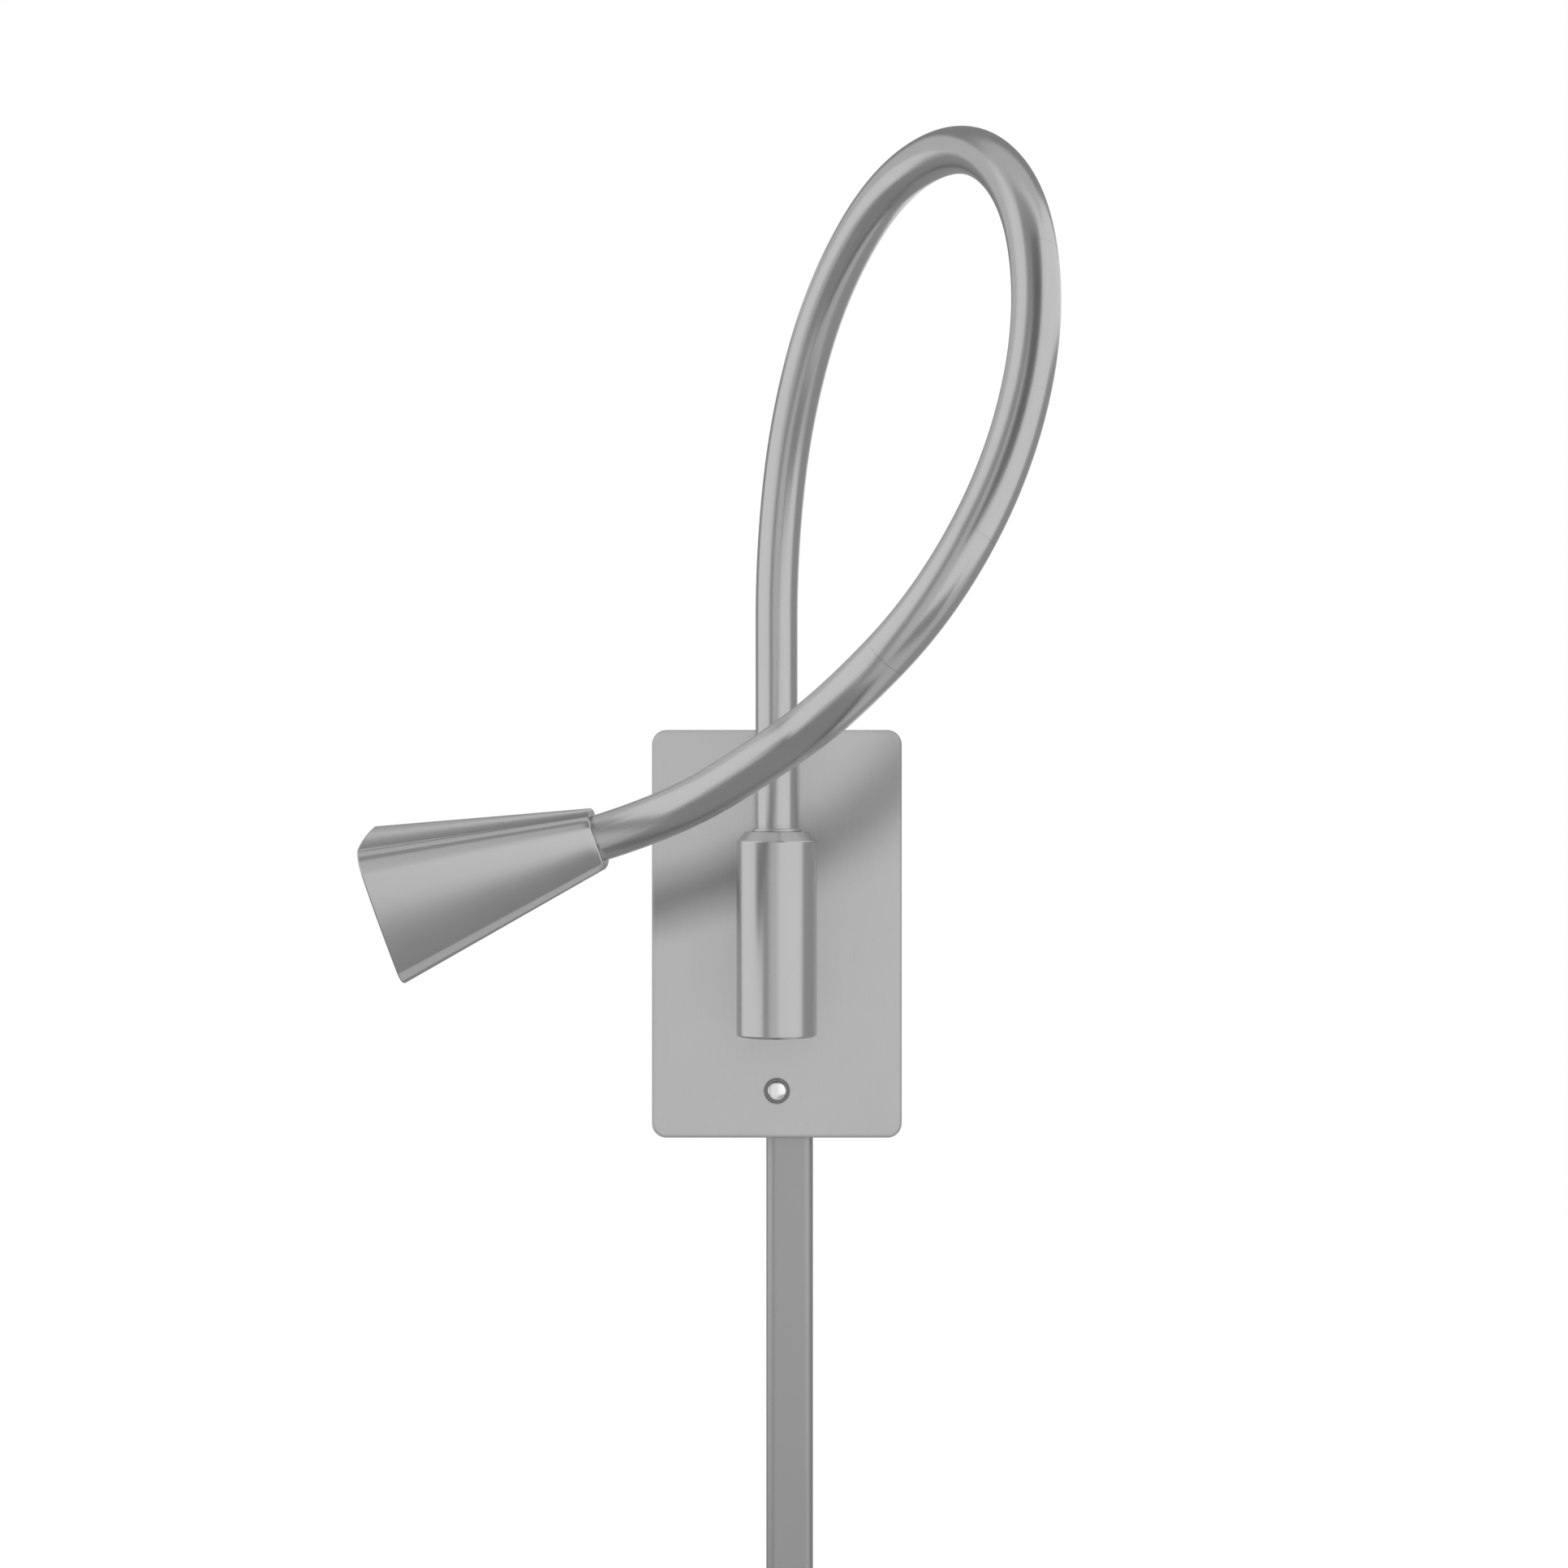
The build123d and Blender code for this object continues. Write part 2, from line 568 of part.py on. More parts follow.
def swivel_stem():
    """Hollow end fitting of the arm that turns in the post, with clip and stop grooves."""
    outer = TUBE_D / 2
    groove = outer - CLIP_GROOVE_DEPTH
    outline = [
        (STEM_BORE_D / 2, STEM_BOTTOM),
        (outer, STEM_BOTTOM),
        (outer, CLIP_TOP - CLIP_T),
        (groove, CLIP_TOP - CLIP_T),
        (groove, CLIP_TOP),
        (outer, CLIP_TOP),
        (outer, STEM_TOP),
        (STEM_BORE_D / 2, STEM_TOP),
    ]
    floor = outer - STOP_PIN_ENGAGE - STOP_GROOVE_GAP
    beyond = outer + STOP_PIN_ENGAGE
    half = STOP_PIN_D / 2 + STOP_GROOVE_GAP
    band = Plane.XZ * make_face(Polyline(
        (floor, STOP_PIN_Z - half), (beyond, STOP_PIN_Z - half),
        (beyond, STOP_PIN_Z + half), (floor, STOP_PIN_Z + half), close=True))
    spare = math.degrees(half / floor) + STOP_SPARE_ANGLE
    arc = SWIVEL_TO_LEFT + SWIVEL_TO_RIGHT + 2 * spare
    sector = revolve(band, axis=Axis.Z, revolution_arc=arc)
    turn = STOP_PIN_BEARING - SWIVEL_TO_RIGHT - spare
    return on_post(turned(outline) - Rot(0, 0, turn) * sector)


def stem_clip():
    """Open retaining ring in the stem's groove, below the bush."""
    ring = Circle(CLIP_D / 2) - Circle(TUBE_D / 2 - CLIP_GROOVE_DEPTH)
    ring -= Pos(0, CLIP_D / 2) * Rectangle(CLIP_MOUTH, CLIP_D)
    return on_post(Pos(0, 0, CLIP_TOP - CLIP_T) * extrude(ring, amount=CLIP_T))


def bend_radius(index):
    """Radius of the arc that rounds one corner of the arm's route."""
    into = ARM_ROUTE[index] - ARM_ROUTE[index - 1]
    out_of = ARM_ROUTE[index + 1] - ARM_ROUTE[index]
    half_turn = math.radians(into.get_angle(out_of)) / 2
    return BEND_SHARE * min(into.length, out_of.length) / math.tan(half_turn)


def arm_cut(index):
    """Where the arm is parted on one run of its route: its ends, or the run's middle."""
    last_run = len(ARM_ROUTE) - 2
    if index == 0:
        return ARM_ROUTE[0]
    if index == last_run:
        return ARM_ROUTE[-1]
    return (ARM_ROUTE[index] + ARM_ROUTE[index + 1]) * 0.5


def arm_piece(index):
    """One length of the arm's tube round the corner with this number."""
    points = (arm_cut(index - 1), ARM_ROUTE[index], arm_cut(index))
    path = FilletPolyline(*points, radius=bend_radius(index))
    start = Plane(origin=path @ 0, z_dir=path % 0)
    tube = sweep(start * Circle(TUBE_D / 2), path=path)
    return tube - sweep(start * Circle(TUBE_BORE_D / 2), path=path)


def head_plane():
    """The head's own frame: Z along its axis, X square to the face that is turned to the room."""
    to_room = Vector(0, -1, 0)
    front = (to_room - HEAD_AXIS * to_room.dot(HEAD_AXIS)).normalized()
    above = HEAD_AXIS.cross(front)
    roll = math.radians(HEAD_ROLL)
    turned_front = front * math.cos(roll) - above * math.sin(roll)
    return Plane(origin=HEAD_START, x_dir=turned_front, z_dir=HEAD_AXIS)


def along_head(small, mouth, along):
    """A size of the head's section at one place along its axis."""
    return small + (mouth - small) * along / HEAD_L


def head_side(along):
    """Side of the head's square, from corner to corner, at one place along its axis."""
    return along_head(HEAD_SMALL_SIDE, HEAD_MOUTH_SIDE, along)


def head_section(along, inset=0.0):
    """The head's rounded square with bowed sides at one place, drawn in by an inset."""
    half = head_side(along) / 2 - inset
    bow = along_head(HEAD_SMALL_BOW, HEAD_MOUTH_BOW, along)
    corner = along_head(HEAD_SMALL_R, HEAD_MOUTH_R, along) - inset
    side = ThreePointArc((half, -half), (half + bow, 0), (half, half))
    square = make_face([side.rotate(Axis.Z, quarter * 90) for quarter in range(4)])
    return Pos(0, 0, along) * fillet(square.vertices(), max(corner, HEAD_INNER_MIN_R))


def head_taper(start, end, inset=0.0):
    """The head's taper between two places along its axis."""
    return loft([head_section(start, inset), head_section(end, inset)])


def head_shell():
    """Tapered square shell with a thick small end that is bored for the arm's end fitting."""
    outer = head_taper(0, HEAD_L)
    outer = chamfer(outer.faces().sort_by(Axis.Z)[0].edges(), HEAD_END_CHAMFER)
    shell = outer - head_taper(HEAD_END_T, HEAD_L, HEAD_WALL)
    up = (Align.CENTER, Align.CENTER, Align.MIN)
    shell -= Cylinder(TUBE_D / 2, FERRULE_SEAT_DEPTH, align=up)
    return shell - Cylinder(FERRULE_THREAD_D / 2, HEAD_END_T, align=up)


def head_ferrule():
    """Hollow end fitting of the arm, threaded inside the head."""
    outline = [
        (FERRULE_BORE_D / 2, 0),
        (TUBE_D / 2, 0),
        (TUBE_D / 2, FERRULE_SEAT_DEPTH),
        (FERRULE_THREAD_D / 2, FERRULE_SEAT_DEPTH),
        (FERRULE_THREAD_D / 2, FERRULE_L),
        (FERRULE_BORE_D / 2, FERRULE_L),
    ]
    return turned(outline)


def head_nut():
    """Round slotted nut that draws the ferrule into the head."""
    disc = Circle(HEAD_NUT_D / 2) - Circle(FERRULE_THREAD_D / 2)
    nut = Pos(0, 0, HEAD_END_T) * extrude(disc, amount=HEAD_NUT_T)
    slot = Box(HEAD_NUT_D, HEAD_NUT_SLOT_W, HEAD_NUT_T)
    return nut - Pos(0, 0, HEAD_END_T + HEAD_NUT_T) * slot


def heat_sink():
    """Tapered aluminium block that fills the shell behind the lamp board, slotted at the back."""
    block = head_taper(SINK_START, SINK_END, HEAD_WALL + HEAD_FIT)
    block -= Pos(0, 0, (SINK_START + SINK_END) / 2) * Cylinder(SINK_BORE_D / 2, SINK_END)
    slot = Box(HEAD_MOUTH_SIDE, SINK_SLOT_W, 2 * SINK_SLOT_DEPTH)
    for step in range(SINK_SLOTS):
        across_axis = (step - (SINK_SLOTS - 1) / 2) * SINK_SLOT_PITCH
        block -= Pos(0, across_axis, SINK_START) * slot
    return block


def led_board():
    """Square board that carries the lamp chip on the heat sink."""
    side = head_side(SINK_END) - 2 * HEAD_WALL - 2 * LED_BOARD_MARGIN
    return Pos(0, 0, SINK_END) * extrude(RectangleRounded(side, side, LED_BOARD_R), amount=LED_BOARD_T)


def led_chip():
    """Square light source with a chamfered rim."""
    base = SINK_END + LED_BOARD_T
    up = (Align.CENTER, Align.CENTER, Align.MIN)
    chip = Pos(0, 0, base) * Box(LED_CHIP_SIZE, LED_CHIP_SIZE, LED_CHIP_T, align=up)
    return chamfer(chip.faces().sort_by(Axis.Z)[-1].edges(), LED_CHIP_CHAMFER)


def lens():
    """Solid conical optic with a flange that sits in the lens ring."""
    flange = LENS_FRONT - LENS_FLANGE_T
    outline = [
        (0, LENS_FOOT),
        (LENS_FOOT_D / 2, LENS_FOOT),
        (LENS_FACE_D / 2, flange),
        (LENS_FLANGE_D / 2, flange),
        (LENS_FLANGE_D / 2, LENS_FRONT),
        (0, LENS_FRONT),
    ]
    return turned(outline)


def lens_ring():
    """Square frame in the shell with a round seat for the lens."""
    ring = head_taper(LENS_FRONT - LENS_RING_T, LENS_FRONT, HEAD_WALL + HEAD_FIT)
    ring -= Pos(0, 0, LENS_FRONT) * Cylinder(LENS_FACE_D / 2 + LENS_CLEARANCE, 4 * LENS_RING_T)
    seat = Cylinder(LENS_FLANGE_D / 2 + LENS_CLEARANCE, 2 * LENS_FLANGE_T)
    return ring - Pos(0, 0, LENS_FRONT) * seat


def led_lead():
    """Two-core lead from the driver through stub, post and arm to the lamp board."""
    lead_depth = (BOARD_BACK + BOARD_FRONT) / 2
    points = [
        Vector(0, -lead_depth, BOARD_Z - BOARD_H / 2),
        Vector(0, -lead_depth, 0),
        Vector(0, -POST_AXIS_DEPTH, 0),
    ]
    points += ARM_ROUTE[1:-1]
    points.append(HEAD_START + HEAD_AXIS * SINK_END)
    bends = [bend_radius(index) for index in range(1, len(ARM_ROUTE) - 1)]
    path = FilletPolyline(*points, radius=[LEAD_STUB_R, LEAD_POST_R] + bends)
    print("lead length", round(path.length, 1), "mm")
    print("arm bend radii", [round(bend, 1) for bend in bends])
    section = Plane(origin=path @ 0, z_dir=path % 0) * Circle(LEAD_D / 2)
    return sweep(section, path=path)


def cover_run(section, top, length):
    """Extrude a section, drawn as seen from above, down the wall."""
    return extrude(Plane.XY.offset(top - length) * section, amount=length)


def cord_channel():
    """Strip on the wall with two barbed lips and its screw holes."""
    inner_half = COVER_W / 2 - COVER_WALL - CHANNEL_GAP
    half = inner_half - CHANNEL_BARB
    tip = CHANNEL_BASE_T + CHANNEL_LIP_H
    barb = CHANNEL_LIP_T
    strip = make_face(Polyline(
        (-half, 0), (half, 0), (half, -tip + barb), (inner_half, -tip + barb),
        (half, -tip), (half - CHANNEL_LIP_T, -tip), (half - CHANNEL_LIP_T, -CHANNEL_BASE_T),
        (CHANNEL_LIP_T - half, -CHANNEL_BASE_T), (CHANNEL_LIP_T - half, -tip), (-half, -tip),
        (-inner_half, -tip + barb), (-half, -tip + barb), close=True))
    channel = cover_run(Pos(COVER_X, 0) * strip, COVER_TOP, COVER_L)
    middle = COVER_TOP - COVER_L / 2
    for z in (middle - CHANNEL_HOLE_SPACING / 2, middle + CHANNEL_HOLE_SPACING / 2):
        channel -= slab(Pos(COVER_X, z) * Circle(CHANNEL_HOLE_D / 2), 0, CHANNEL_BASE_T)
    return channel


def cord_cover():
    """Snap-on cover with rounded front corners and a bead inside each leg."""
    solid = Pos(0, -COVER_DEPTH / 2) * Rectangle(COVER_W, COVER_DEPTH)
    solid = fillet(solid.vertices().sort_by(Axis.Y)[:2], COVER_CORNER_R)
    inner = COVER_W / 2 - COVER_WALL
    inner_depth = COVER_DEPTH - COVER_WALL
    hollow = Pos(0, -inner_depth / 2) * Rectangle(2 * inner, inner_depth)
    hollow = fillet(hollow.vertices().sort_by(Axis.Y)[:2], COVER_CORNER_R - COVER_WALL)
    lifted = Pos(0, -COVER_WALL_GAP / 2) * Rectangle(2 * COVER_W, COVER_WALL_GAP)
    section = solid - hollow - lifted
    bead_reach = CHANNEL_BARB
    bead_low = CHANNEL_BASE_T + CHANNEL_LIP_H - CHANNEL_LIP_T - CHANNEL_GAP
    for side in (-1, 1):
        section += make_face(Polyline(
            (side * inner, -bead_low), (side * (inner - bead_reach), -bead_low + bead_reach),
            (side * inner, -bead_low + 2 * bead_reach), close=True))
    return cover_run(Pos(COVER_X, 0) * section, COVER_TOP, COVER_L)


def build():
    """Every node of the lamp by name, with one solid or a list of like solids."""
    nodes = {
        "back_plate": back_plate(),
        "wall_bracket": wall_bracket(),
        "plate_screws": plate_screws(),
        "driver_board": driver_board(),
        "board_spacers": board_spacers(),
        "board_screws": board_screws(),
        "driver_transformer": driver_transformer(),
        "driver_capacitors": driver_capacitors(),
        "driver_chips": driver_chips(),
        "cord_terminals": cord_terminals(),
        "switch_collar": switch_collar(),
        "switch_body": switch_body(),
        "switch_spring": switch_spring(),
        "switch_button": switch_button(),
        "post_stub": post_stub(),
        "stub_washer": stub_washer(),
        "stub_nut": stub_nut(),
        "post": post(),
        "post_cap": post_cap(),
        "swivel_bushing": swivel_bushing(),
        "thrust_washer": thrust_washer(),
        "stop_pin": stop_pin(),
        "swivel_stem": swivel_stem(),
        "stem_clip": stem_clip(),
        "led_lead": led_lead(),
        "cord_channel": cord_channel(),
        "cord_cover": cord_cover(),
    }
    for index in range(1, len(ARM_ROUTE) - 1):
        kind = "bend" if index % 2 else "link"
        nodes[f"arm_{kind}_{(index + 1) // 2}"] = arm_piece(index)
    place = head_plane()
    for name, piece in (
        ("head_shell", head_shell()),
        ("head_ferrule", head_ferrule()),
        ("head_nut", head_nut()),
        ("heat_sink", heat_sink()),
        ("led_board", led_board()),
        ("led_chip", led_chip()),
        ("lens", lens()),
        ("lens_ring", lens_ring()),
    ):
        nodes[name] = place * piece
    return nodes


os.makedirs("parts", exist_ok=True)
for node_name, shape in build().items():
    if isinstance(shape, list):
        shape = Compound(children=shape)
    export_step(shape, f"parts/{node_name}.step")
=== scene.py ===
import math

import bmesh
import bpy
import numpy as np
from mathutils import Matrix, Vector


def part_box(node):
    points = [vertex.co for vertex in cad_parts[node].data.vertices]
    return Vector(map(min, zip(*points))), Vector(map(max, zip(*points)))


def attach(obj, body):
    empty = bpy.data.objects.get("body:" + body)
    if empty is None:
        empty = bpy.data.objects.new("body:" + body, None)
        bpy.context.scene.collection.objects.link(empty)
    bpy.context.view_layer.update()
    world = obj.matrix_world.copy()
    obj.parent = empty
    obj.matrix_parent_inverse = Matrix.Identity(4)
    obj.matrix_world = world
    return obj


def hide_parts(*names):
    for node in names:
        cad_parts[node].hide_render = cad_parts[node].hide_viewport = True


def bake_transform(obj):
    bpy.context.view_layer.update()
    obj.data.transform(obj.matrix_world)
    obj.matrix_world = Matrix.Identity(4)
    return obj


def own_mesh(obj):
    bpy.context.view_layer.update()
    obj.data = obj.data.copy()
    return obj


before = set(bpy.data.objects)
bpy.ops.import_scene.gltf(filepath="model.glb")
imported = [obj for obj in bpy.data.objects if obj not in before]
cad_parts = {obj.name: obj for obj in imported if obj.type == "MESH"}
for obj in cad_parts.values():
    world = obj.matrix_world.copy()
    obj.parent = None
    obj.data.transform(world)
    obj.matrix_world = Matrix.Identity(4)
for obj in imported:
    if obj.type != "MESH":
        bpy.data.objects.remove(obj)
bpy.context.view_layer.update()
scene = bpy.context.scene
scene.view_settings.view_transform = "Standard"


# Camera: level, in front of the lamp and a little above its wall plate, where the photograph
# was taken from. One sensor width of 36 mm covers the square picture of 1932 pixels.
def new_object(name, data):
    """A new object, linked into the scene."""
    made = bpy.data.objects.new(name, data)
    scene.collection.objects.link(made)
    return made


picture_side = 1932
focal_pixels = 3582
camera = new_object("camera", bpy.data.cameras.new("camera"))
camera.location = (0.002, -0.830, 0.042)
camera.rotation_euler = (math.radians(90), 0, 0)
camera.data.sensor_width = 36.0
camera.data.lens = camera.data.sensor_width * focal_pixels / picture_side
camera.data.clip_start = 0.01
scene.camera = camera

# Studio: white all round, a pale floor, one soft lamp in front, and the grey cards that stand
# beside polished metal in a studio so that it shows its roundness.
studio_middle = Vector((0, -0.08, 0.02))


def node_material(name):
    """An empty node material with its output."""
    made = bpy.data.materials.new(name)
    made.use_nodes = True
    made.node_tree.nodes.clear()
    made.node_tree.nodes.new("ShaderNodeOutputMaterial")
    return made, made.node_tree.nodes, made.node_tree.links


def add_node(nodes, kind, values=None, operation=None):
    """A new node, with its operation and with values on its own sockets."""
    node = nodes.new(kind)
    if operation:
        node.operation = operation
    for socket, value in (values or {}).items():
        node.inputs[socket].default_value = value
    return node


def connect(links, *wires):
    """Link nodes: each wire is a node and its output, then a node and its input."""
    for source, output, target, socket in wires:
        links.new(source.outputs[output], target.inputs[socket])


def seen_by(nodes, links, *rays):
    """A node that gives 1 for these two or more kinds of ray and 0 for the others."""
    path = nodes.new("ShaderNodeLightPath")
    value, output = path, rays[0]
    for ray in rays[1:]:
        larger = add_node(nodes, "ShaderNodeMath", operation="MAXIMUM")
        connect(links, (value, output, larger, 0), (path, ray, larger, 1))
        value, output = larger, 0
    return value


def stand_off(thing, azimuth, elevation, distance):
    """Stand a thing round the lamp, turned to its middle; azimuth 0 is in front, 90 at the right."""
    a, e = math.radians(azimuth), math.radians(elevation)
    away = Vector((math.sin(a) * math.cos(e), -math.cos(a) * math.cos(e), math.sin(e)))
    thing.location = away * distance + studio_middle
    thing.rotation_euler = away.to_track_quat("Z", "Y").to_euler()


def studio_card(name, azimuth, elevation, width, height, grey, distance):
    """A grey card that only reflections see; its width and height are angles."""
    w = distance * math.tan(math.radians(width / 2))
    h = distance * math.tan(math.radians(height / 2))
    mesh = bpy.data.meshes.new(name)
    mesh.from_pydata([(-w, -h, 0), (w, -h, 0), (w, h, 0), (-w, h, 0)], [], [(0, 1, 2, 3)])
    card = new_object(name, mesh)
    stand_off(card, azimuth, elevation, distance)
    made, nodes, links = node_material(name)
    glow = add_node(nodes, "ShaderNodeEmission", {"Color": (grey, grey, grey, 1)})
    connect(links, (glow, 0, nodes["Material Output"], "Surface"))
    mesh.materials.append(made)
    card.visible_camera = card.visible_diffuse = card.visible_shadow = False
    card.visible_transmission = False


key_lamp = new_object("key_lamp", bpy.data.lights.new("key_lamp", "AREA"))
key_lamp.data.shape = "SQUARE"
key_lamp.data.size = 0.13
key_lamp.data.energy = 14.0
stand_off(key_lamp, azimuth=0, elevation=13.7, distance=1.3)
key_lamp.visible_camera = key_lamp.visible_glossy = False

# Each card's name, azimuth, elevation, width, height, grey and distance.
for card in (
    ("overhead_card", -15, 60, 56, 38, 0.42, 2.1),
    ("tripod_card", -32, 6, 19, 120, 0.4, 1.25),
    ("low_left_card", -92, -56, 88, 60, 0.35, 0.73),
    ("low_right_card", 26, -40, 42, 42, 0.34, 1.4),
    ("right_card", 117, -17, 68, 80, 0.42, 0.4),
    ("far_left_card", -157, -30, 75, 100, 0.36, 0.85),
    ("back_card", 182, 48, 76, 45, 0.31, 1.05),
    ("front_card", -9, 13, 27, 105, 0.74, 1.5),
    ("under_card", 30, -86, 150, 115, 0.66, 1.0),
    ("left_foot_card", -88, -65, 75, 66, 0.17, 0.84),
    ("crease_card", 14, 42, 22, 38, 0.18, 0.42),
    ("zenith_card", 180, 84, 70, 24, 0.7, 1.2),
    ("high_left_card", -128, 41, 30, 32, 0.7, 0.53),
):
    studio_card(*card)

room_strength = 0.28
world = bpy.data.worlds.new("studio")
scene.world = world
world.use_nodes = True
nodes, links = world.node_tree.nodes, world.node_tree.links
nodes.clear()
room_light = add_node(nodes, "ShaderNodeBackground", {"Color": (1, 1, 1, 1), "Strength": room_strength})
backdrop = add_node(nodes, "ShaderNodeBackground", {"Color": (1, 1, 1, 1), "Strength": 1.0})
world_mix = nodes.new("ShaderNodeMixShader")
world_out = nodes.new("ShaderNodeOutputWorld")
shown = seen_by(nodes, links, "Is Camera Ray", "Is Glossy Ray", "Is Transmission Ray")
connect(links, (shown, 0, world_mix, 0), (room_light, 0, world_mix, 1), (backdrop, 0, world_mix, 2),
        (world_mix, 0, world_out, "Surface"))

floor_height = -1.3
floor_reach = 8.0
floor_grey = 0.86
floor_lift = 0.77
floor_mesh = bpy.data.meshes.new("floor")
floor_mesh.from_pydata([(x * floor_reach, y * floor_reach, floor_height)
                        for x, y in ((-1, -1), (1, -1), (1, 1), (-1, 1))], [], [(0, 1, 2, 3)])
floor = new_object("floor", floor_mesh)
floor_paint, nodes, links = node_material("floor_paint")
paint = add_node(nodes, "ShaderNodeBsdfDiffuse", {"Color": (floor_grey, floor_grey, floor_grey, 1)})
lift = nodes.new("ShaderNodeEmission")
lift_amount = add_node(nodes, "ShaderNodeMath", {1: floor_lift}, "MULTIPLY")
together = nodes.new("ShaderNodeAddShader")
shown = seen_by(nodes, links, "Is Camera Ray", "Is Glossy Ray")
connect(links, (shown, 0, lift_amount, 0), (lift_amount, 0, lift, "Strength"), (paint, 0, together, 0),
        (lift, 0, together, 1), (together, 0, nodes["Material Output"], "Surface"))
floor_mesh.materials.append(floor_paint)


# Wall bracket: a strap stamped from zinc-plated steel with two bent tabs. Four screws hold it
# on the wall, and the plate hangs on its tabs. The stamped node is right, and gets its finish.
def grain_group():
    """Fine drawn lines and cloudy patches, for every metal of the lamp."""
    group = bpy.data.node_groups.new("metal_grain", "ShaderNodeTree")
    for name, kind, value in (
        ("Place", "Vector", (0, 0, 0)), ("Line Scale", "Float", 4000.0), ("Cloud Scale", "Float", 60.0),
        ("Tone", "Float", 0.5), ("Tone Change", "Float", 0.04), ("Roughness", "Float", 0.35),
        ("Roughness Change", "Float", 0.05), ("Stretch", "Vector", (1, 1, 0.02)),
    ):
        socket = group.interface.new_socket(name, in_out="INPUT", socket_type="NodeSocket" + kind)
        socket.default_value = value
    for name, kind in (("Color", "Color"), ("Roughness", "Float"), ("Height", "Float")):
        group.interface.new_socket(name, in_out="OUTPUT", socket_type="NodeSocket" + kind)
    nodes, links = group.nodes, group.links
    given = nodes.new("NodeGroupInput")
    result = nodes.new("NodeGroupOutput")
    drawn = add_node(nodes, "ShaderNodeVectorMath", operation="MULTIPLY")
    lines = add_node(nodes, "ShaderNodeTexNoise", {"Detail": 3.0})
    clouds = add_node(nodes, "ShaderNodeTexNoise", {"Detail": 2.0})
    both = add_node(nodes, "ShaderNodeMath", operation="ADD")
    spread = add_node(nodes, "ShaderNodeMath", {1: 1.0}, "SUBTRACT")
    tone = add_node(nodes, "ShaderNodeMath", operation="MULTIPLY_ADD")
    roughness = add_node(nodes, "ShaderNodeMath", operation="MULTIPLY_ADD")
    grey = nodes.new("ShaderNodeCombineColor")
    for name, moved in (("Tone", tone), ("Roughness", roughness)):
        connect(links, (spread, 0, moved, 0), (given, name + " Change", moved, 1),
                (given, name, moved, 2))
    for channel in ("Red", "Green", "Blue"):
        connect(links, (tone, 0, grey, channel))
    connect(links, (given, "Place", drawn, 0), (given, "Stretch", drawn, 1),
            (drawn, 0, lines, "Vector"), (given, "Line Scale", lines, "Scale"),
            (given, "Place", clouds, "Vector"), (given, "Cloud Scale", clouds, "Scale"),
            (lines, "Fac", both, 0), (clouds, "Fac", both, 1), (both, 0, spread, 0),
            (lines, "Fac", result, "Height"), (grey, 0, result, "Color"),
            (roughness, 0, result, "Roughness"))
    return group


metal_grain = grain_group()


def add_relief(nodes, links, height, output, shader, strength, distance):
    """Fine relief in a shader's normal, from a node's output."""
    relief = add_node(nodes, "ShaderNodeBump", {"Strength": strength, "Distance": distance})
    connect(links, (height, output, relief, "Height"), (relief, 0, shader, "Normal"))


def metal(name, tone, roughness, tint=None, metallic=1.0, follows="drawn", stretch=(1, 1, 0.02),
          line_scale=4000.0, bump=0.05, tone_change=0.04, roughness_change=0.06):
    """A metal whose tone, roughness and fine relief follow the drawn lines of the grain group."""
    made, nodes, links = node_material(name)
    if follows == "Object":
        where, place = nodes.new("ShaderNodeTexCoord"), "Object"
    else:
        where, place = nodes.new("ShaderNodeAttribute"), "Vector"
        where.attribute_name = follows
    grain = nodes.new("ShaderNodeGroup")
    grain.node_tree = metal_grain
    for socket, value in (("Tone", tone), ("Tone Change", tone_change), ("Roughness", roughness),
                          ("Roughness Change", roughness_change), ("Stretch", stretch),
                          ("Line Scale", line_scale)):
        grain.inputs[socket].default_value = value
    shader = add_node(nodes, "ShaderNodeBsdfPrincipled", {"Metallic": metallic})
    colour = grain
    if tint:
        colour = add_node(nodes, "ShaderNodeVectorMath", {1: tint}, "MULTIPLY")
        connect(links, (grain, 0, colour, 0))
    connect(links, (where, place, grain, "Place"), (colour, 0, shader, "Base Color"),
            (grain, "Roughness", shader, "Roughness"), (shader, 0, nodes["Material Output"], "Surface"))
    add_relief(nodes, links, grain, "Height", shader, bump, distance=0.00002)
    return made


def dress(material, *names):
    """Give carried-over CAD nodes their finish."""
    for name in names:
        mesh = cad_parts[name].data
        mesh.materials.clear()
        mesh.materials.append(material)


zinc = metal("zinc_plate", 0.6, 0.38, tint=(0.97, 0.99, 1.0), follows="Object", stretch=(1, 1, 1),
             line_scale=900.0)
dress(zinc, "wall_bracket", "stub_washer")

# Back plate: a tray drawn from sheet metal, its front edges rolled, brushed and nickel plated.
# It has holes for the post's stub, the button and two side screws, and a notch for the cord.
crease_angle = math.radians(32)


def solid(name, vertices, faces):
    """A closed mesh whose faces point outwards."""
    mesh = bpy.data.meshes.new(name)
    work = bmesh.new()
    made = [work.verts.new(vertex) for vertex in vertices]
    for face in faces:
        work.faces.new([made[index] for index in face])
    bmesh.ops.remove_doubles(work, verts=work.verts, dist=1e-7)
    bmesh.ops.recalc_face_normals(work, faces=work.faces)
    work.to_mesh(mesh)
    work.free()
    return mesh


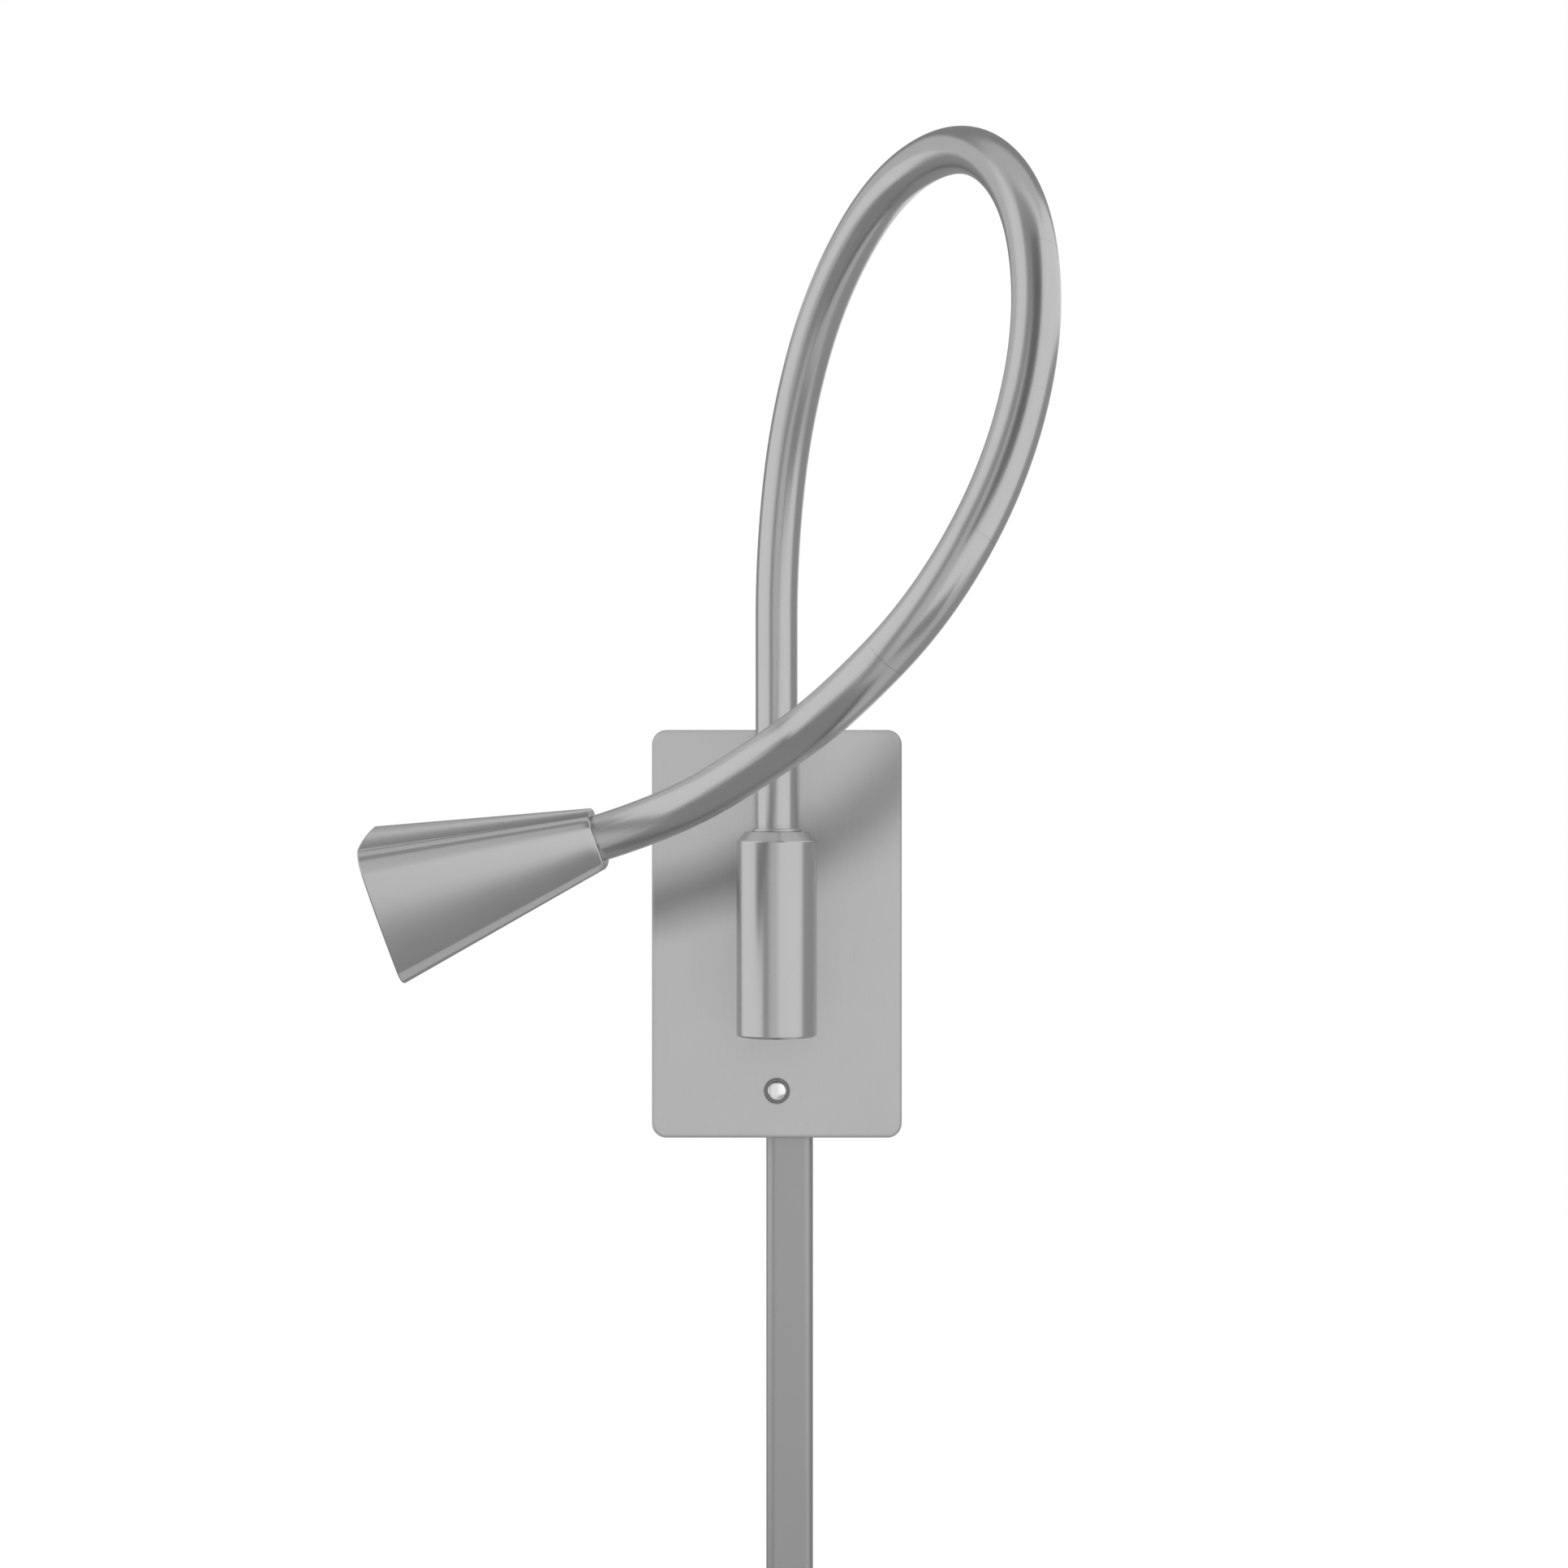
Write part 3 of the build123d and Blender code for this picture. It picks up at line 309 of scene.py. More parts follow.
def soften(outline, steps=4):
    """Round the corners of a closed outline of (x, y, corner radius) points with arcs."""
    points = []
    for before, (x, y, radius), after in zip(outline[-1:] + outline[:-1], outline,
                                             outline[1:] + outline[:1]):
        corner = Vector((x, y))
        if radius == 0:
            points.append((x, y))
            continue
        into = (Vector(before[:2]) - corner).normalized()
        out = (Vector(after[:2]) - corner).normalized()
        half = into.angle(out) / 2
        reach = radius / math.tan(half)
        centre = corner + (into + out).normalized() * radius / math.sin(half)
        for step in range(steps + 1):
            chord = (corner + into * reach).lerp(corner + out * reach, step / steps)
            points.append(tuple(centre + (chord - centre).normalized() * radius))
    return points


def box_outline(width, height, corner, steps=8):
    """A rectangle with rounded corners about the origin."""
    x, y = width / 2, height / 2
    return soften([(-x, -y, corner), (x, -y, corner), (x, y, corner), (-x, y, corner)], steps)


def skin(name, rings):
    """Join rings of as many points with quads, and close the first and last with a flat face."""
    count = len(rings[0])
    faces = []
    for first in range(0, (len(rings) - 1) * count, count):
        after = first + count
        for k in range(count):
            n = (k + 1) % count
            faces.append((first + k, first + n, after + n, after + k))
    faces += [tuple(range(count)), tuple(range((len(rings) - 1) * count, len(rings) * count))]
    return solid(name, [point for ring in rings for point in ring], faces)


def lathe(name, outline, sides=96):
    """Turn a closed outline of (radius, height) points round the Z axis."""
    vertices, rings, faces = [], [], []
    for radius, height in outline:
        first = len(vertices)
        if radius < 1e-7:
            rings.append([first] * sides)
            vertices.append((0, 0, height))
            continue
        rings.append(list(range(first, first + sides)))
        for k in range(sides):
            angle = 2 * math.pi * k / sides
            vertices.append((radius * math.cos(angle), radius * math.sin(angle), height))
    for ring, after in zip(rings, rings[1:] + rings[:1]):
        for k in range(sides):
            n = (k + 1) % sides
            corners = list(dict.fromkeys((ring[k], ring[n], after[n], after[k])))
            if len(corners) > 2:
                faces.append(corners)
    return solid(name, vertices, faces)


def applied(holder):
    """The plain mesh that an object's modifiers make, with the object removed."""
    depsgraph = bpy.context.evaluated_depsgraph_get()
    made = bpy.data.meshes.new_from_object(holder.evaluated_get(depsgraph), depsgraph=depsgraph)
    bpy.data.objects.remove(holder)
    return made


def plain_mesh(mesh, kind, **values):
    """The mesh that a modifier makes of another."""
    holder = new_object("holder", mesh)
    modifier = holder.modifiers.new(kind.lower(), kind)
    for key, value in values.items():
        setattr(modifier, key, value)
    made = applied(holder)
    made.name = mesh.name
    return made


def cut(mesh, *cutters):
    """Take other closed meshes out of a mesh, one after the other."""
    for cutter in cutters:
        tool = new_object("tool", cutter)
        mesh = plain_mesh(mesh, "BOOLEAN", operation="DIFFERENCE", solver="EXACT", object=tool)
        bpy.data.objects.remove(tool)
    return mesh


def settle(mesh, material, place=Matrix()):
    """Note the piece's own coordinates for its grain, settle its normals and put it in its place."""
    drawn = mesh.attributes.new("drawn", "FLOAT_VECTOR", "POINT")
    flat = np.zeros(len(mesh.vertices) * 3, np.float32)
    mesh.vertices.foreach_get("co", flat)
    drawn.data.foreach_set("vector", flat)
    mesh.shade_smooth()
    mesh.set_sharp_from_angle(angle=crease_angle)
    mesh = plain_mesh(mesh, "WEIGHTED_NORMAL", mode="FACE_AREA", keep_sharp=True, weight=90)
    mesh.transform(place)
    mesh.materials.clear()
    mesh.materials.append(material)
    return mesh


def add_piece(name, mesh, body, slot, *stands_for):
    """Link a finished mesh, and say what it rides on and the nodes it stands for. The slot is not used.
    """
    piece = new_object(name, mesh)
    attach(piece, body)
    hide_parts(*stands_for)
    return piece


def middle(node):
    """Centre of a CAD node's box."""
    low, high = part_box(node)
    return (low + high) / 2


def along_y(place):
    """Turn a piece made along Z to point out into the room, at a place."""
    return Matrix.Translation(place) @ Matrix.Rotation(math.radians(90), 4, "X")


plate_low, plate_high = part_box("back_plate")
plate_w = plate_high.x - plate_low.x
plate_h = plate_high.z - plate_low.z
plate_depth = plate_high.y - plate_low.y
plate_wall = 0.0015
plate_corner = 0.004
least_corner = 0.0003
plate_roll = 0.0012
rim_round = 0.00025
floor_round = 0.0008
face_inset = 0.002


def tray_ring(inset, depth):
    """One ring of the tray: the plate's outline drawn in by an inset, at a depth."""
    corner = max(plate_corner - inset, least_corner)
    return [(x, z, depth) for x, z in box_outline(plate_w - 2 * inset, plate_h - 2 * inset, corner)]


tray_profile = soften([
    (plate_wall + face_inset, plate_depth - plate_wall, 0),
    (plate_wall, plate_depth - plate_wall, floor_round),
    (plate_wall, 0, rim_round),
    (0, 0, rim_round),
    (0, plate_depth, plate_roll),
    (face_inset, plate_depth, 0),
], steps=8)
plate = skin("wall_plate", [tray_ring(inset, depth) for inset, depth in tray_profile])

stub_hole_r = 0.0051
button_hole_r = 0.0035
button_hole_chamfer = 0.00035
button_place = middle("switch_button")
spare = 0.002
past_plate = plate_depth + spare
stub_hole = lathe("stub_hole", [(0, 0), (stub_hole_r, 0), (stub_hole_r, past_plate), (0, past_plate)])
button_hole = lathe("button_hole", [
    (0, 0), (button_hole_r, 0), (button_hole_r, plate_depth - button_hole_chamfer),
    (button_hole_r + button_hole_chamfer + spare, past_plate), (0, past_plate)])
button_hole.transform(Matrix.Translation((button_place.x, button_place.z, 0)))

screw_r = 0.0015
screw_hole_r = 0.00165
screw_head_r = 0.0025
screw_head_h = 0.001
screw_depth = 0.0065
side_hole_depth = 0.01
side_holes = []
for side in (-1, 1):
    hole = lathe("side_hole", [
        (0, side_hole_depth), (screw_hole_r, side_hole_depth), (screw_hole_r, screw_head_h),
        (screw_head_r, 0), (screw_head_r + spare, -spare), (0, -spare)], sides=48)
    hole.transform(Matrix.Translation((side * plate_w / 2, 0, screw_depth))
                   @ Matrix.Rotation(-side * math.pi / 2, 4, "Y"))
    side_holes.append(hole)

cover_low, cover_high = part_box("cord_cover")
cover_x = (cover_low.x + cover_high.x) / 2
cover_gap = 0.0003
notch_w = cover_high.x - cover_low.x + 2 * cover_gap
notch_depth = -cover_low.y + cover_gap
notch_corner = 0.0027
notch_outline = soften([
    (-notch_w / 2, -spare, 0), (notch_w / 2, -spare, 0),
    (notch_w / 2, notch_depth, notch_corner), (-notch_w / 2, notch_depth, notch_corner)], steps=6)
notch = skin("notch", [[(x + cover_x, z, y) for x, y in notch_outline]
                       for z in (-plate_h / 2 - spare, -plate_h / 2 + 2 * plate_wall)])

brushed = metal("brushed_nickel_plate", 0.49, 0.5, metallic=0.35, stretch=(1, 0.02, 1), bump=0.03)
plate = cut(plate, stub_hole, button_hole, *side_holes, notch)
add_piece("wall_plate", settle(plate, brushed, along_y((0, 0, 0))),
          "lamp_base", "satin_nickel", "back_plate")


# Side screws: two short countersunk screws with a straight slot, turned from steel and nickel
# plated, through the plate's sides into the bracket's tabs. Both are set out by one node tree.
def node_tree(name, *inputs):
    """A geometry node tree with a geometry input, other named inputs, and its two end nodes."""
    group = bpy.data.node_groups.new(name, "GeometryNodeTree")
    group.interface.new_socket("Geometry", in_out="INPUT", socket_type="NodeSocketGeometry")
    for label, kind in inputs:
        group.interface.new_socket(label, in_out="INPUT", socket_type="NodeSocket" + kind)
    group.interface.new_socket("Geometry", in_out="OUTPUT", socket_type="NodeSocketGeometry")
    return group, group.nodes.new("NodeGroupInput"), group.nodes.new("NodeGroupOutput")


def end_tree(group, given, result, last):
    """End a tree in Realize Instances and Set Material."""
    real = group.nodes.new("GeometryNodeRealizeInstances")
    finish = group.nodes.new("GeometryNodeSetMaterial")
    connect(group.links, (last, 0, real, 0), (real, 0, finish, "Geometry"),
            (given, "Material", finish, "Material"), (finish, 0, result, "Geometry"))


def grown(holder, group, values):
    """The plain mesh that a tree makes of an object, given its inputs' values."""
    modifier = holder.modifiers.new(group.name, "NODES")
    modifier.node_group = group
    for item in group.interface.items_tree:
        if item.in_out == "INPUT" and item.name in values:
            modifier[item.identifier] = values[item.name]
    return applied(holder)


set_out_tree, given, result = node_tree("set_out", ("Piece", "Object"), ("Material", "Material"))
fetch = set_out_tree.nodes.new("GeometryNodeObjectInfo")
turn = add_node(set_out_tree.nodes, "GeometryNodeInputNamedAttribute", {"Name": "turn"})
turn.data_type = "FLOAT_VECTOR"
copies = set_out_tree.nodes.new("GeometryNodeInstanceOnPoints")
connect(set_out_tree.links, (given, "Piece", fetch, "Object"), (given, "Geometry", copies, "Points"),
        (fetch, "Geometry", copies, "Instance"), (turn, "Attribute", copies, "Rotation"))
end_tree(set_out_tree, given, result, copies)


def set_out(name, piece_mesh, places, material):
    """Copies of one piece, settled, at several places with their turns, as one plain mesh."""
    piece = new_object("pattern_piece", settle(piece_mesh, material))
    points = bpy.data.meshes.new(name)
    points.from_pydata([place for place, angles in places], [], [])
    turns = points.attributes.new("turn", "FLOAT_VECTOR", "POINT")
    for item, (place, angles) in zip(turns.data, places):
        item.vector = angles
    made = grown(new_object(name, points), set_out_tree, {"Piece": piece, "Material": material})
    bpy.data.objects.remove(piece)
    return made


screw_l = 0.0045
screw_point = 0.0004
screw_round = 0.00012
screw_slot_w = 0.0008
screw_slot_l = 0.006
screw_slot_depth = 0.0006
slot_corner = 0.0001
slot_outline = box_outline(screw_slot_w, screw_slot_l, slot_corner, steps=2)
slot_cutter = skin("slot", [[(x, y, z) for x, y in slot_outline] for z in (-spare, screw_slot_depth)])
side_screw = cut(lathe("side_screw", soften([
    (0, 0, 0), (screw_head_r, 0, screw_round), (screw_r, screw_head_h, screw_round),
    (screw_r, screw_l, screw_point), (0, screw_l, 0)], steps=3), sides=48), slot_cutter)
turned_nickel = metal("turned_nickel", 0.52, 0.3, bump=0.04)
side_places = [((side * plate_w / 2, -screw_depth, 0), (0, -side * math.pi / 2, 0)) for side in (-1, 1)]
add_piece("side_screws", set_out("side_screws", side_screw, side_places, turned_nickel),
          "lamp_base", "satin_nickel", "plate_screws")

# Post: turned from bar, upright in front of the plate on a hollow threaded stub, with a wiring
# cavity below and the swivel's bore above. A turned plug closes its foot. Satin nickel.
post_low, post_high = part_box("post")
post_axis = Vector((middle("post").x, middle("post").y, 0))
post_r = (post_high.x - post_low.x) / 2
post_foot, post_top = post_low.z, post_high.z
post_top_r = 0.0087
shoulder_h = 0.0026
foot_chamfer = 0.0005
cavity_r = 0.0085
stub_r = 0.005
ledge_hole_r = 0.004
ledge_bottom = stub_r + 0.0015
ledge_top = ledge_bottom + 0.0025
bush_r = 0.0065
edge_round = 0.0002
foot_round, shoulder_round = 0.0004, 0.0006
post_outline = soften([
    (cavity_r, post_foot, edge_round),
    (post_r - foot_chamfer, post_foot, edge_round),
    (post_r, post_foot + foot_chamfer, foot_round),
    (post_r, post_top - shoulder_h, shoulder_round),
    (post_top_r, post_top, edge_round),
    (bush_r, post_top, 0),
    (bush_r, ledge_top, 0),
    (ledge_hole_r, ledge_top, edge_round),
    (ledge_hole_r, ledge_bottom, edge_round),
    (cavity_r, ledge_bottom, edge_round),
])


def back_bore(name, radius, height, sides):
    """A cutter from inside the post out through its back, at a height."""
    reach = 0.02
    bore = lathe(name, [(0, ledge_hole_r), (radius, ledge_hole_r), (radius, reach), (0, reach)], sides)
    bore.transform(Matrix.Translation((0, 0, height)) @ Matrix.Rotation(math.radians(-90), 4, "X"))
    return bore


pin_low, pin_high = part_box("stop_pin")
pin_r = (pin_high.z - pin_low.z) / 2
post = cut(lathe("post_body", post_outline, sides=128), back_bore("stub_bore", stub_r, 0, 96),
           back_bore("pin_hole", pin_r, middle("stop_pin").z, 32))
post_finish = metal("satin_nickel_post", 0.52, 0.25, bump=0.02, tone_change=0.02, roughness_change=0.03)
add_piece("post_body", settle(post, post_finish, Matrix.Translation(post_axis)),
          "lamp_base", "satin_nickel", "post")

cap_h = 0.003
cap_recess = 0.0008
cap_recess_r = 0.003
cap_recess_round = 0.0003
cap_r = cavity_r - 0.00002
post_plug = lathe("post_plug", soften([
    (0, post_foot + cap_recess, 0), (cap_recess_r, post_foot + cap_recess, cap_recess_round),
    (cap_recess_r, post_foot, cap_recess_round), (cap_r, post_foot, edge_round),
    (cap_r, post_foot + cap_h, edge_round), (0, post_foot + cap_h, 0)]))
add_piece("post_plug", settle(post_plug, post_finish, Matrix.Translation(post_axis)),
          "lamp_base", "satin_nickel", "post_cap")

# The photograph has no shadow below the post's foot, so the post doesn't block the key lamp.
key_blockers = bpy.data.collections.new("key_blockers")
for name in ("post_body", "post_plug"):
    key_blockers.objects.link(bpy.data.objects[name])
for entry in key_blockers.collection_objects:
    entry.light_linking.link_state = "EXCLUDE"
key_lamp.light_linking.blocker_collection = key_blockers

brass = metal("turned_brass", 0.72, 0.3, tint=(1.0, 0.8, 0.45), follows="Object")
dress(turned_nickel, "post_stub")
dress(brass, "stub_nut")

# Swivel: a flanged bush in the post's top, the arm's hollow stem that turns in it, an open
# retaining clip below the bush, a friction washer under the stem and the stop pin.
bush_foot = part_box("swivel_bushing")[0].z
lip_r = 0.0068
lip_h = 0.0008
lip_round = 0.00025
bush_bore_r = 0.0058
bush_round, bore_round = 0.0001, 0.00012
bush_outline = soften([
    (bush_bore_r, bush_foot, bush_round), (bush_r, bush_foot, bush_round), (bush_r, post_top, 0),
    (lip_r, post_top, bush_round), (lip_r, post_top + lip_h, lip_round),
    (bush_bore_r, post_top + lip_h, bore_round)])
swivel_bush = lathe("swivel_bush", bush_outline, sides=128)
add_piece("swivel_bush", settle(swivel_bush, turned_nickel, Matrix.Translation(post_axis)),
          "lamp_base", "satin_nickel", "swivel_bushing")
spring_steel = metal("oiled_spring_steel", 0.36, 0.3, tint=(1.0, 0.99, 0.97), follows="Object",
                     line_scale=2500.0)
stem_finish = metal("satin_nickel_stem", 0.5, 0.28, follows="Object")
dress(stem_finish, "swivel_stem")
dress(spring_steel, "stem_clip", "stop_pin")


def plastic(name, colour, roughness, scale=700.0, bump=0.08):
    """Moulded plastic: a cloudy tone, fine mould texture and uneven gloss on Object coordinates."""
    made, nodes, links = node_material(name)
    where = nodes.new("ShaderNodeTexCoord")
    cloud = add_node(nodes, "ShaderNodeTexNoise", {"Scale": 90.0, "Detail": 4.0})
    texture = add_node(nodes, "ShaderNodeTexNoise", {"Scale": scale})
    ramp = nodes.new("ShaderNodeValToRGB")
    for element, share in zip(ramp.color_ramp.elements, (0.94, 1.06)):
        element.color = (*[min(channel * share, 1) for channel in colour], 1)
    shader = nodes.new("ShaderNodeBsdfPrincipled")
    gloss = add_node(nodes, "ShaderNodeMapRange", {"To Min": roughness * 0.9, "To Max": roughness * 1.1})
    connect(links, (where, "Object", cloud, "Vector"), (where, "Object", texture, "Vector"),
            (cloud, "Fac", ramp, "Fac"), (ramp, "Color", shader, "Base Color"),
            (texture, "Fac", gloss, "Value"), (gloss, "Result", shader, "Roughness"),
            (shader, 0, nodes["Material Output"], "Surface"))
    add_relief(nodes, links, texture, "Fac", shader, bump, distance=0.0001)
    return made


white_plastic = plastic("white_nylon", (0.82, 0.82, 0.79), 0.45)
dress(white_plastic, "thrust_washer")

# Flexible arm: one smooth satin-nickel tube that keeps the set it is bent to. It climbs from the
# stem, loops forward and to the right, and ends at the head. It is swept along its route in
# thirteen lengths; every second length rides a link, and the lengths between are baked in place.
tube_r = 0.00575
tube_wall = 0.00175
stem_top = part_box("swivel_stem")[1].z
arm_foot = Vector((post_axis.x, post_axis.y, stem_top))
arm_route = [arm_foot + Vector(step) for step in (
    (0, 0, 0),
    (0, 0, 0.037),
    (0, -0.0035, 0.074),
    (0.004, -0.0125, 0.110),
    (0.0135, -0.029, 0.142),
    (0.029, -0.0545, 0.165),
    (0.0465, -0.086, 0.1685),
    (0.0585, -0.114, 0.150),
    (0.061, -0.1295, 0.1175),
    (0.053, -0.137, 0.083),
    (0.036, -0.141, 0.0515),
    (0.0145, -0.130, 0.029),
    (-0.002, -0.102, 0.0173),
    (-0.025, -0.0811, 0.0035),
    (-0.0435, -0.0795, -0.0023),
)]
arm_bodies = ["arm_foot", "link_1", "link_2", "link_3", "link_4", "link_5", "link_6", "head"]
last_corner = len(arm_route) - 2

sweep_tree, given, result = node_tree(
    "swept_tube", ("Radius", "Float"), ("Sides", "Int"), ("Rings", "Int"), ("Material", "Material"))
spaced = sweep_tree.nodes.new("GeometryNodeResampleCurve")
spaced.mode = "COUNT"
centre = sweep_tree.nodes.new("GeometryNodeInputPosition")
ring = sweep_tree.nodes.new("GeometryNodeInputIndex")
keep_centre = add_node(sweep_tree.nodes, "GeometryNodeStoreNamedAttribute", {"Name": "centre"})
keep_centre.data_type = "FLOAT_VECTOR"
keep_ring = add_node(sweep_tree.nodes, "GeometryNodeStoreNamedAttribute", {"Name": "ring"})
keep_ring.data_type = "FLOAT"
circle = sweep_tree.nodes.new("GeometryNodeCurvePrimitiveCircle")
sweep = sweep_tree.nodes.new("GeometryNodeCurveToMesh")
connect(sweep_tree.links, (given, "Geometry", spaced, "Curve"), (given, "Rings", spaced, "Count"),
        (spaced, 0, keep_centre, "Geometry"), (centre, 0, keep_centre, "Value"),
        (keep_centre, 0, keep_ring, "Geometry"), (ring, 0, keep_ring, "Value"),
        (keep_ring, 0, sweep, "Curve"), (given, "Sides", circle, "Resolution"),
        (given, "Radius", circle, "Radius"), (circle, 0, sweep, "Profile Curve"))
end_tree(sweep_tree, given, result, sweep)


def along_route(name, points, radius, sides, rings, material):
    """A tube swept along the smooth curve that these points control."""
    data = bpy.data.curves.new(name, "CURVE")
    data.dimensions = "3D"
    data.resolution_u = 48
    spline = data.splines.new("NURBS")
    spline.points.add(len(points) - 1)
    for place, point in zip(spline.points, points):
        place.co = (*point, 1)
    spline.order_u = 3
    spline.use_endpoint_u = True
    made = grown(new_object(name, data), sweep_tree,
                 {"Radius": radius, "Sides": sides, "Rings": rings, "Material": material})
    made.name = name
    return made


def follow_tube(mesh, start):
    """Give a swept tube round normals and its grain's coordinates; start is its first frame.

    The frame is the way across the tube and the length so far, and the next tube's is returned,
    so that the grain runs on from one length to the next.
    """
    across, length = start
    count = len(mesh.vertices)
    place, centres = np.zeros((2, count * 3), np.float32)
    mesh.vertices.foreach_get("co", place)
    mesh.attributes["centre"].data.foreach_get("vector", centres)
    place, centres = place.reshape(-1, 3).astype(float), centres.reshape(-1, 3).astype(float)
    rings = np.array([item.value for item in mesh.attributes["ring"].data]).round().astype(int)
    line = np.array([centres[rings == k][0] for k in range(rings.max() + 1)])
    ways = np.gradient(line, axis=0)
    ways /= np.linalg.norm(ways, axis=1)[:, None]
    grain = np.zeros((count, 3))
    for k, way in enumerate(ways):
        across = across - way * across.dot(way)
        across /= np.linalg.norm(across)
        if k:
            length += np.linalg.norm(line[k] - line[k - 1])
        here = rings == k
        out = place[here] - line[k]
        grain[here] = np.c_[out @ across, out @ np.cross(way, across), np.full(here.sum(), length)]
    drawn = mesh.attributes.new("drawn", "FLOAT_VECTOR", "POINT")
    drawn.data.foreach_set("vector", grain.astype(np.float32).ravel())
    radial = place - centres
    radial /= np.linalg.norm(radial, axis=1)[:, None]
    corner_vertex = np.zeros(len(mesh.loops), int)
    mesh.loops.foreach_get("vertex_index", corner_vertex)
    normals = radial[corner_vertex]
    # The inner wall looks inwards, and an end rim keeps its own flat normal.
    for face in mesh.polygons:
        loops = list(face.loop_indices)
        lean = float(np.dot(normals[loops].mean(axis=0), face.normal))
        if abs(lean) < 0.5:
            normals[loops] = np.array(face.normal)
        elif lean < 0:
            normals[loops] = -normals[loops]
    mesh.shade_smooth()
    mesh.normals_split_custom_set([tuple(normal) for normal in normals])
    for name in ("centre", "ring"):
        mesh.attributes.remove(mesh.attributes[name])
    return across, length


def arm_controls(index):
    """Control points of one length: the middles of the two runs at a corner, and the corner."""
    start = arm_route[0] if index == 1 else (arm_route[index - 1] + arm_route[index]) / 2
    end = arm_route[-1] if index == last_corner else (arm_route[index] + arm_route[index + 1]) / 2
    return start, arm_route[index], end


def carry(name, mesh, index, slot, *stands_for):
    """Let one length ride a link; the length at each second corner is only baked in its place."""
    body = (index + 1) // 2
    if index % 2 == 0:
        add_piece(name, mesh, arm_bodies[body], slot, *stands_for)
        return
    piece = new_object(name, mesh)
    # The end rings lean against the chord. Each has to ride one body as a whole.
    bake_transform(piece)
    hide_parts(*stands_for)


arm_finish = metal("satin_nickel_arm", 0.52, 0.25, stretch=(1, 1, 0.03), line_scale=3000.0, bump=0.03,
                   roughness_change=0.04)
arm_sides, arm_rings = 64, 64
first_frame = (np.array((1.0, 0.0, 0.0)), 0.0)
tube_frame = first_frame
for index in range(1, last_corner + 1):
    kind = "bend" if index % 2 else "link"
    number = (index + 1) // 2
    name = f"arm_tube_{index}"
    mesh = along_route(name, arm_controls(index), tube_r, arm_sides, arm_rings, arm_finish)
    mesh = plain_mesh(mesh, "SOLIDIFY", thickness=tube_wall, offset=-1.0, use_even_offset=True)
    tube_frame = follow_tube(mesh, tube_frame)
    carry(name, mesh, index, "satin_nickel", f"arm_{kind}_{number}")

# Lead: the thin sheathed cable from the driver through stub, post and arm to the lamp board. It
# is cut at the same places as the arm, and each length is carried like the arm's length there.
lead_r = 0.001
lead_sides, lead_rings = 16, 24
board_low, board_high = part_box("driver_board")
lead_depth = (board_low.y + board_high.y) / 2
stub_turn = 0.003
post_turn_in, post_turn_up = 0.007, 0.006
heat_sink_way, board_way = 0.017, 0.0345
rubber = plastic("lead_sheath", (0.6, 0.6, 0.59), 0.5, scale=1500.0)
lead_start = [Vector((0, y, z)) for y, z in (
    (lead_depth, board_low.z), (lead_depth, stub_turn), (lead_depth - stub_turn, 0),
    (post_axis.y + post_turn_in, 0), (post_axis.y, post_turn_up))] + [arm_foot]
head_way = (arm_route[-1] - arm_route[-2]).normalized()
lead_end = [arm_route[-1] + head_way * way for way in (0, heat_sink_way, board_way)]
lead_parts = [("lead_base", lead_start, 0)]
lead_parts += [(f"lead_{index}", arm_controls(index), index) for index in range(1, last_corner + 1)]
lead_parts += [("lead_head", lead_end, last_corner + 1)]
lead_frame = first_frame
for name, points, index in lead_parts:
    mesh = along_route(name, points, lead_r, lead_sides, lead_rings, rubber)
    lead_frame = follow_tube(mesh, lead_frame)
    if index == 0:
        add_piece(name, mesh, "lamp_base", "lead_sheath", "led_lead")
    elif index > last_corner:
        add_piece(name, mesh, "head", "lead_sheath", "led_lead")
    else:
        carry(name, mesh, index, "lead_sheath", "led_lead")

# Lamp head: a cast shell of rounded square section, its sides a little bowed, that tapers to the
# arm. Its thick small end holds the arm's ferrule. Satin nickel outside and inside.
head_length = 0.055
small_side, mouth_side = 0.013, 0.0342
small_corner, mouth_corner = 0.0026, 0.0045
small_crease, mouth_crease = 0.004, 0.0063
small_bow, mouth_bow = 0.0007, 0.0009
head_roll = math.radians(11)
head_wall = 0.0012
head_end = 0.005
ferrule_r = 0.00575
thread_r = 0.0048
seat_depth = 0.002
least_round = 0.0004
side_steps, corner_steps = 20, 18
to_room = Vector((0, -1, 0))
head_front = (to_room - head_way * to_room.dot(head_way)).normalized()
head_above = head_way.cross(head_front)
head_x = head_front * math.cos(head_roll) - head_above * math.sin(head_roll)
head_turn = Matrix((head_x, head_way.cross(head_x), head_way)).transposed().to_4x4()
head_place = Matrix.Translation(arm_route[-1]) @ head_turn


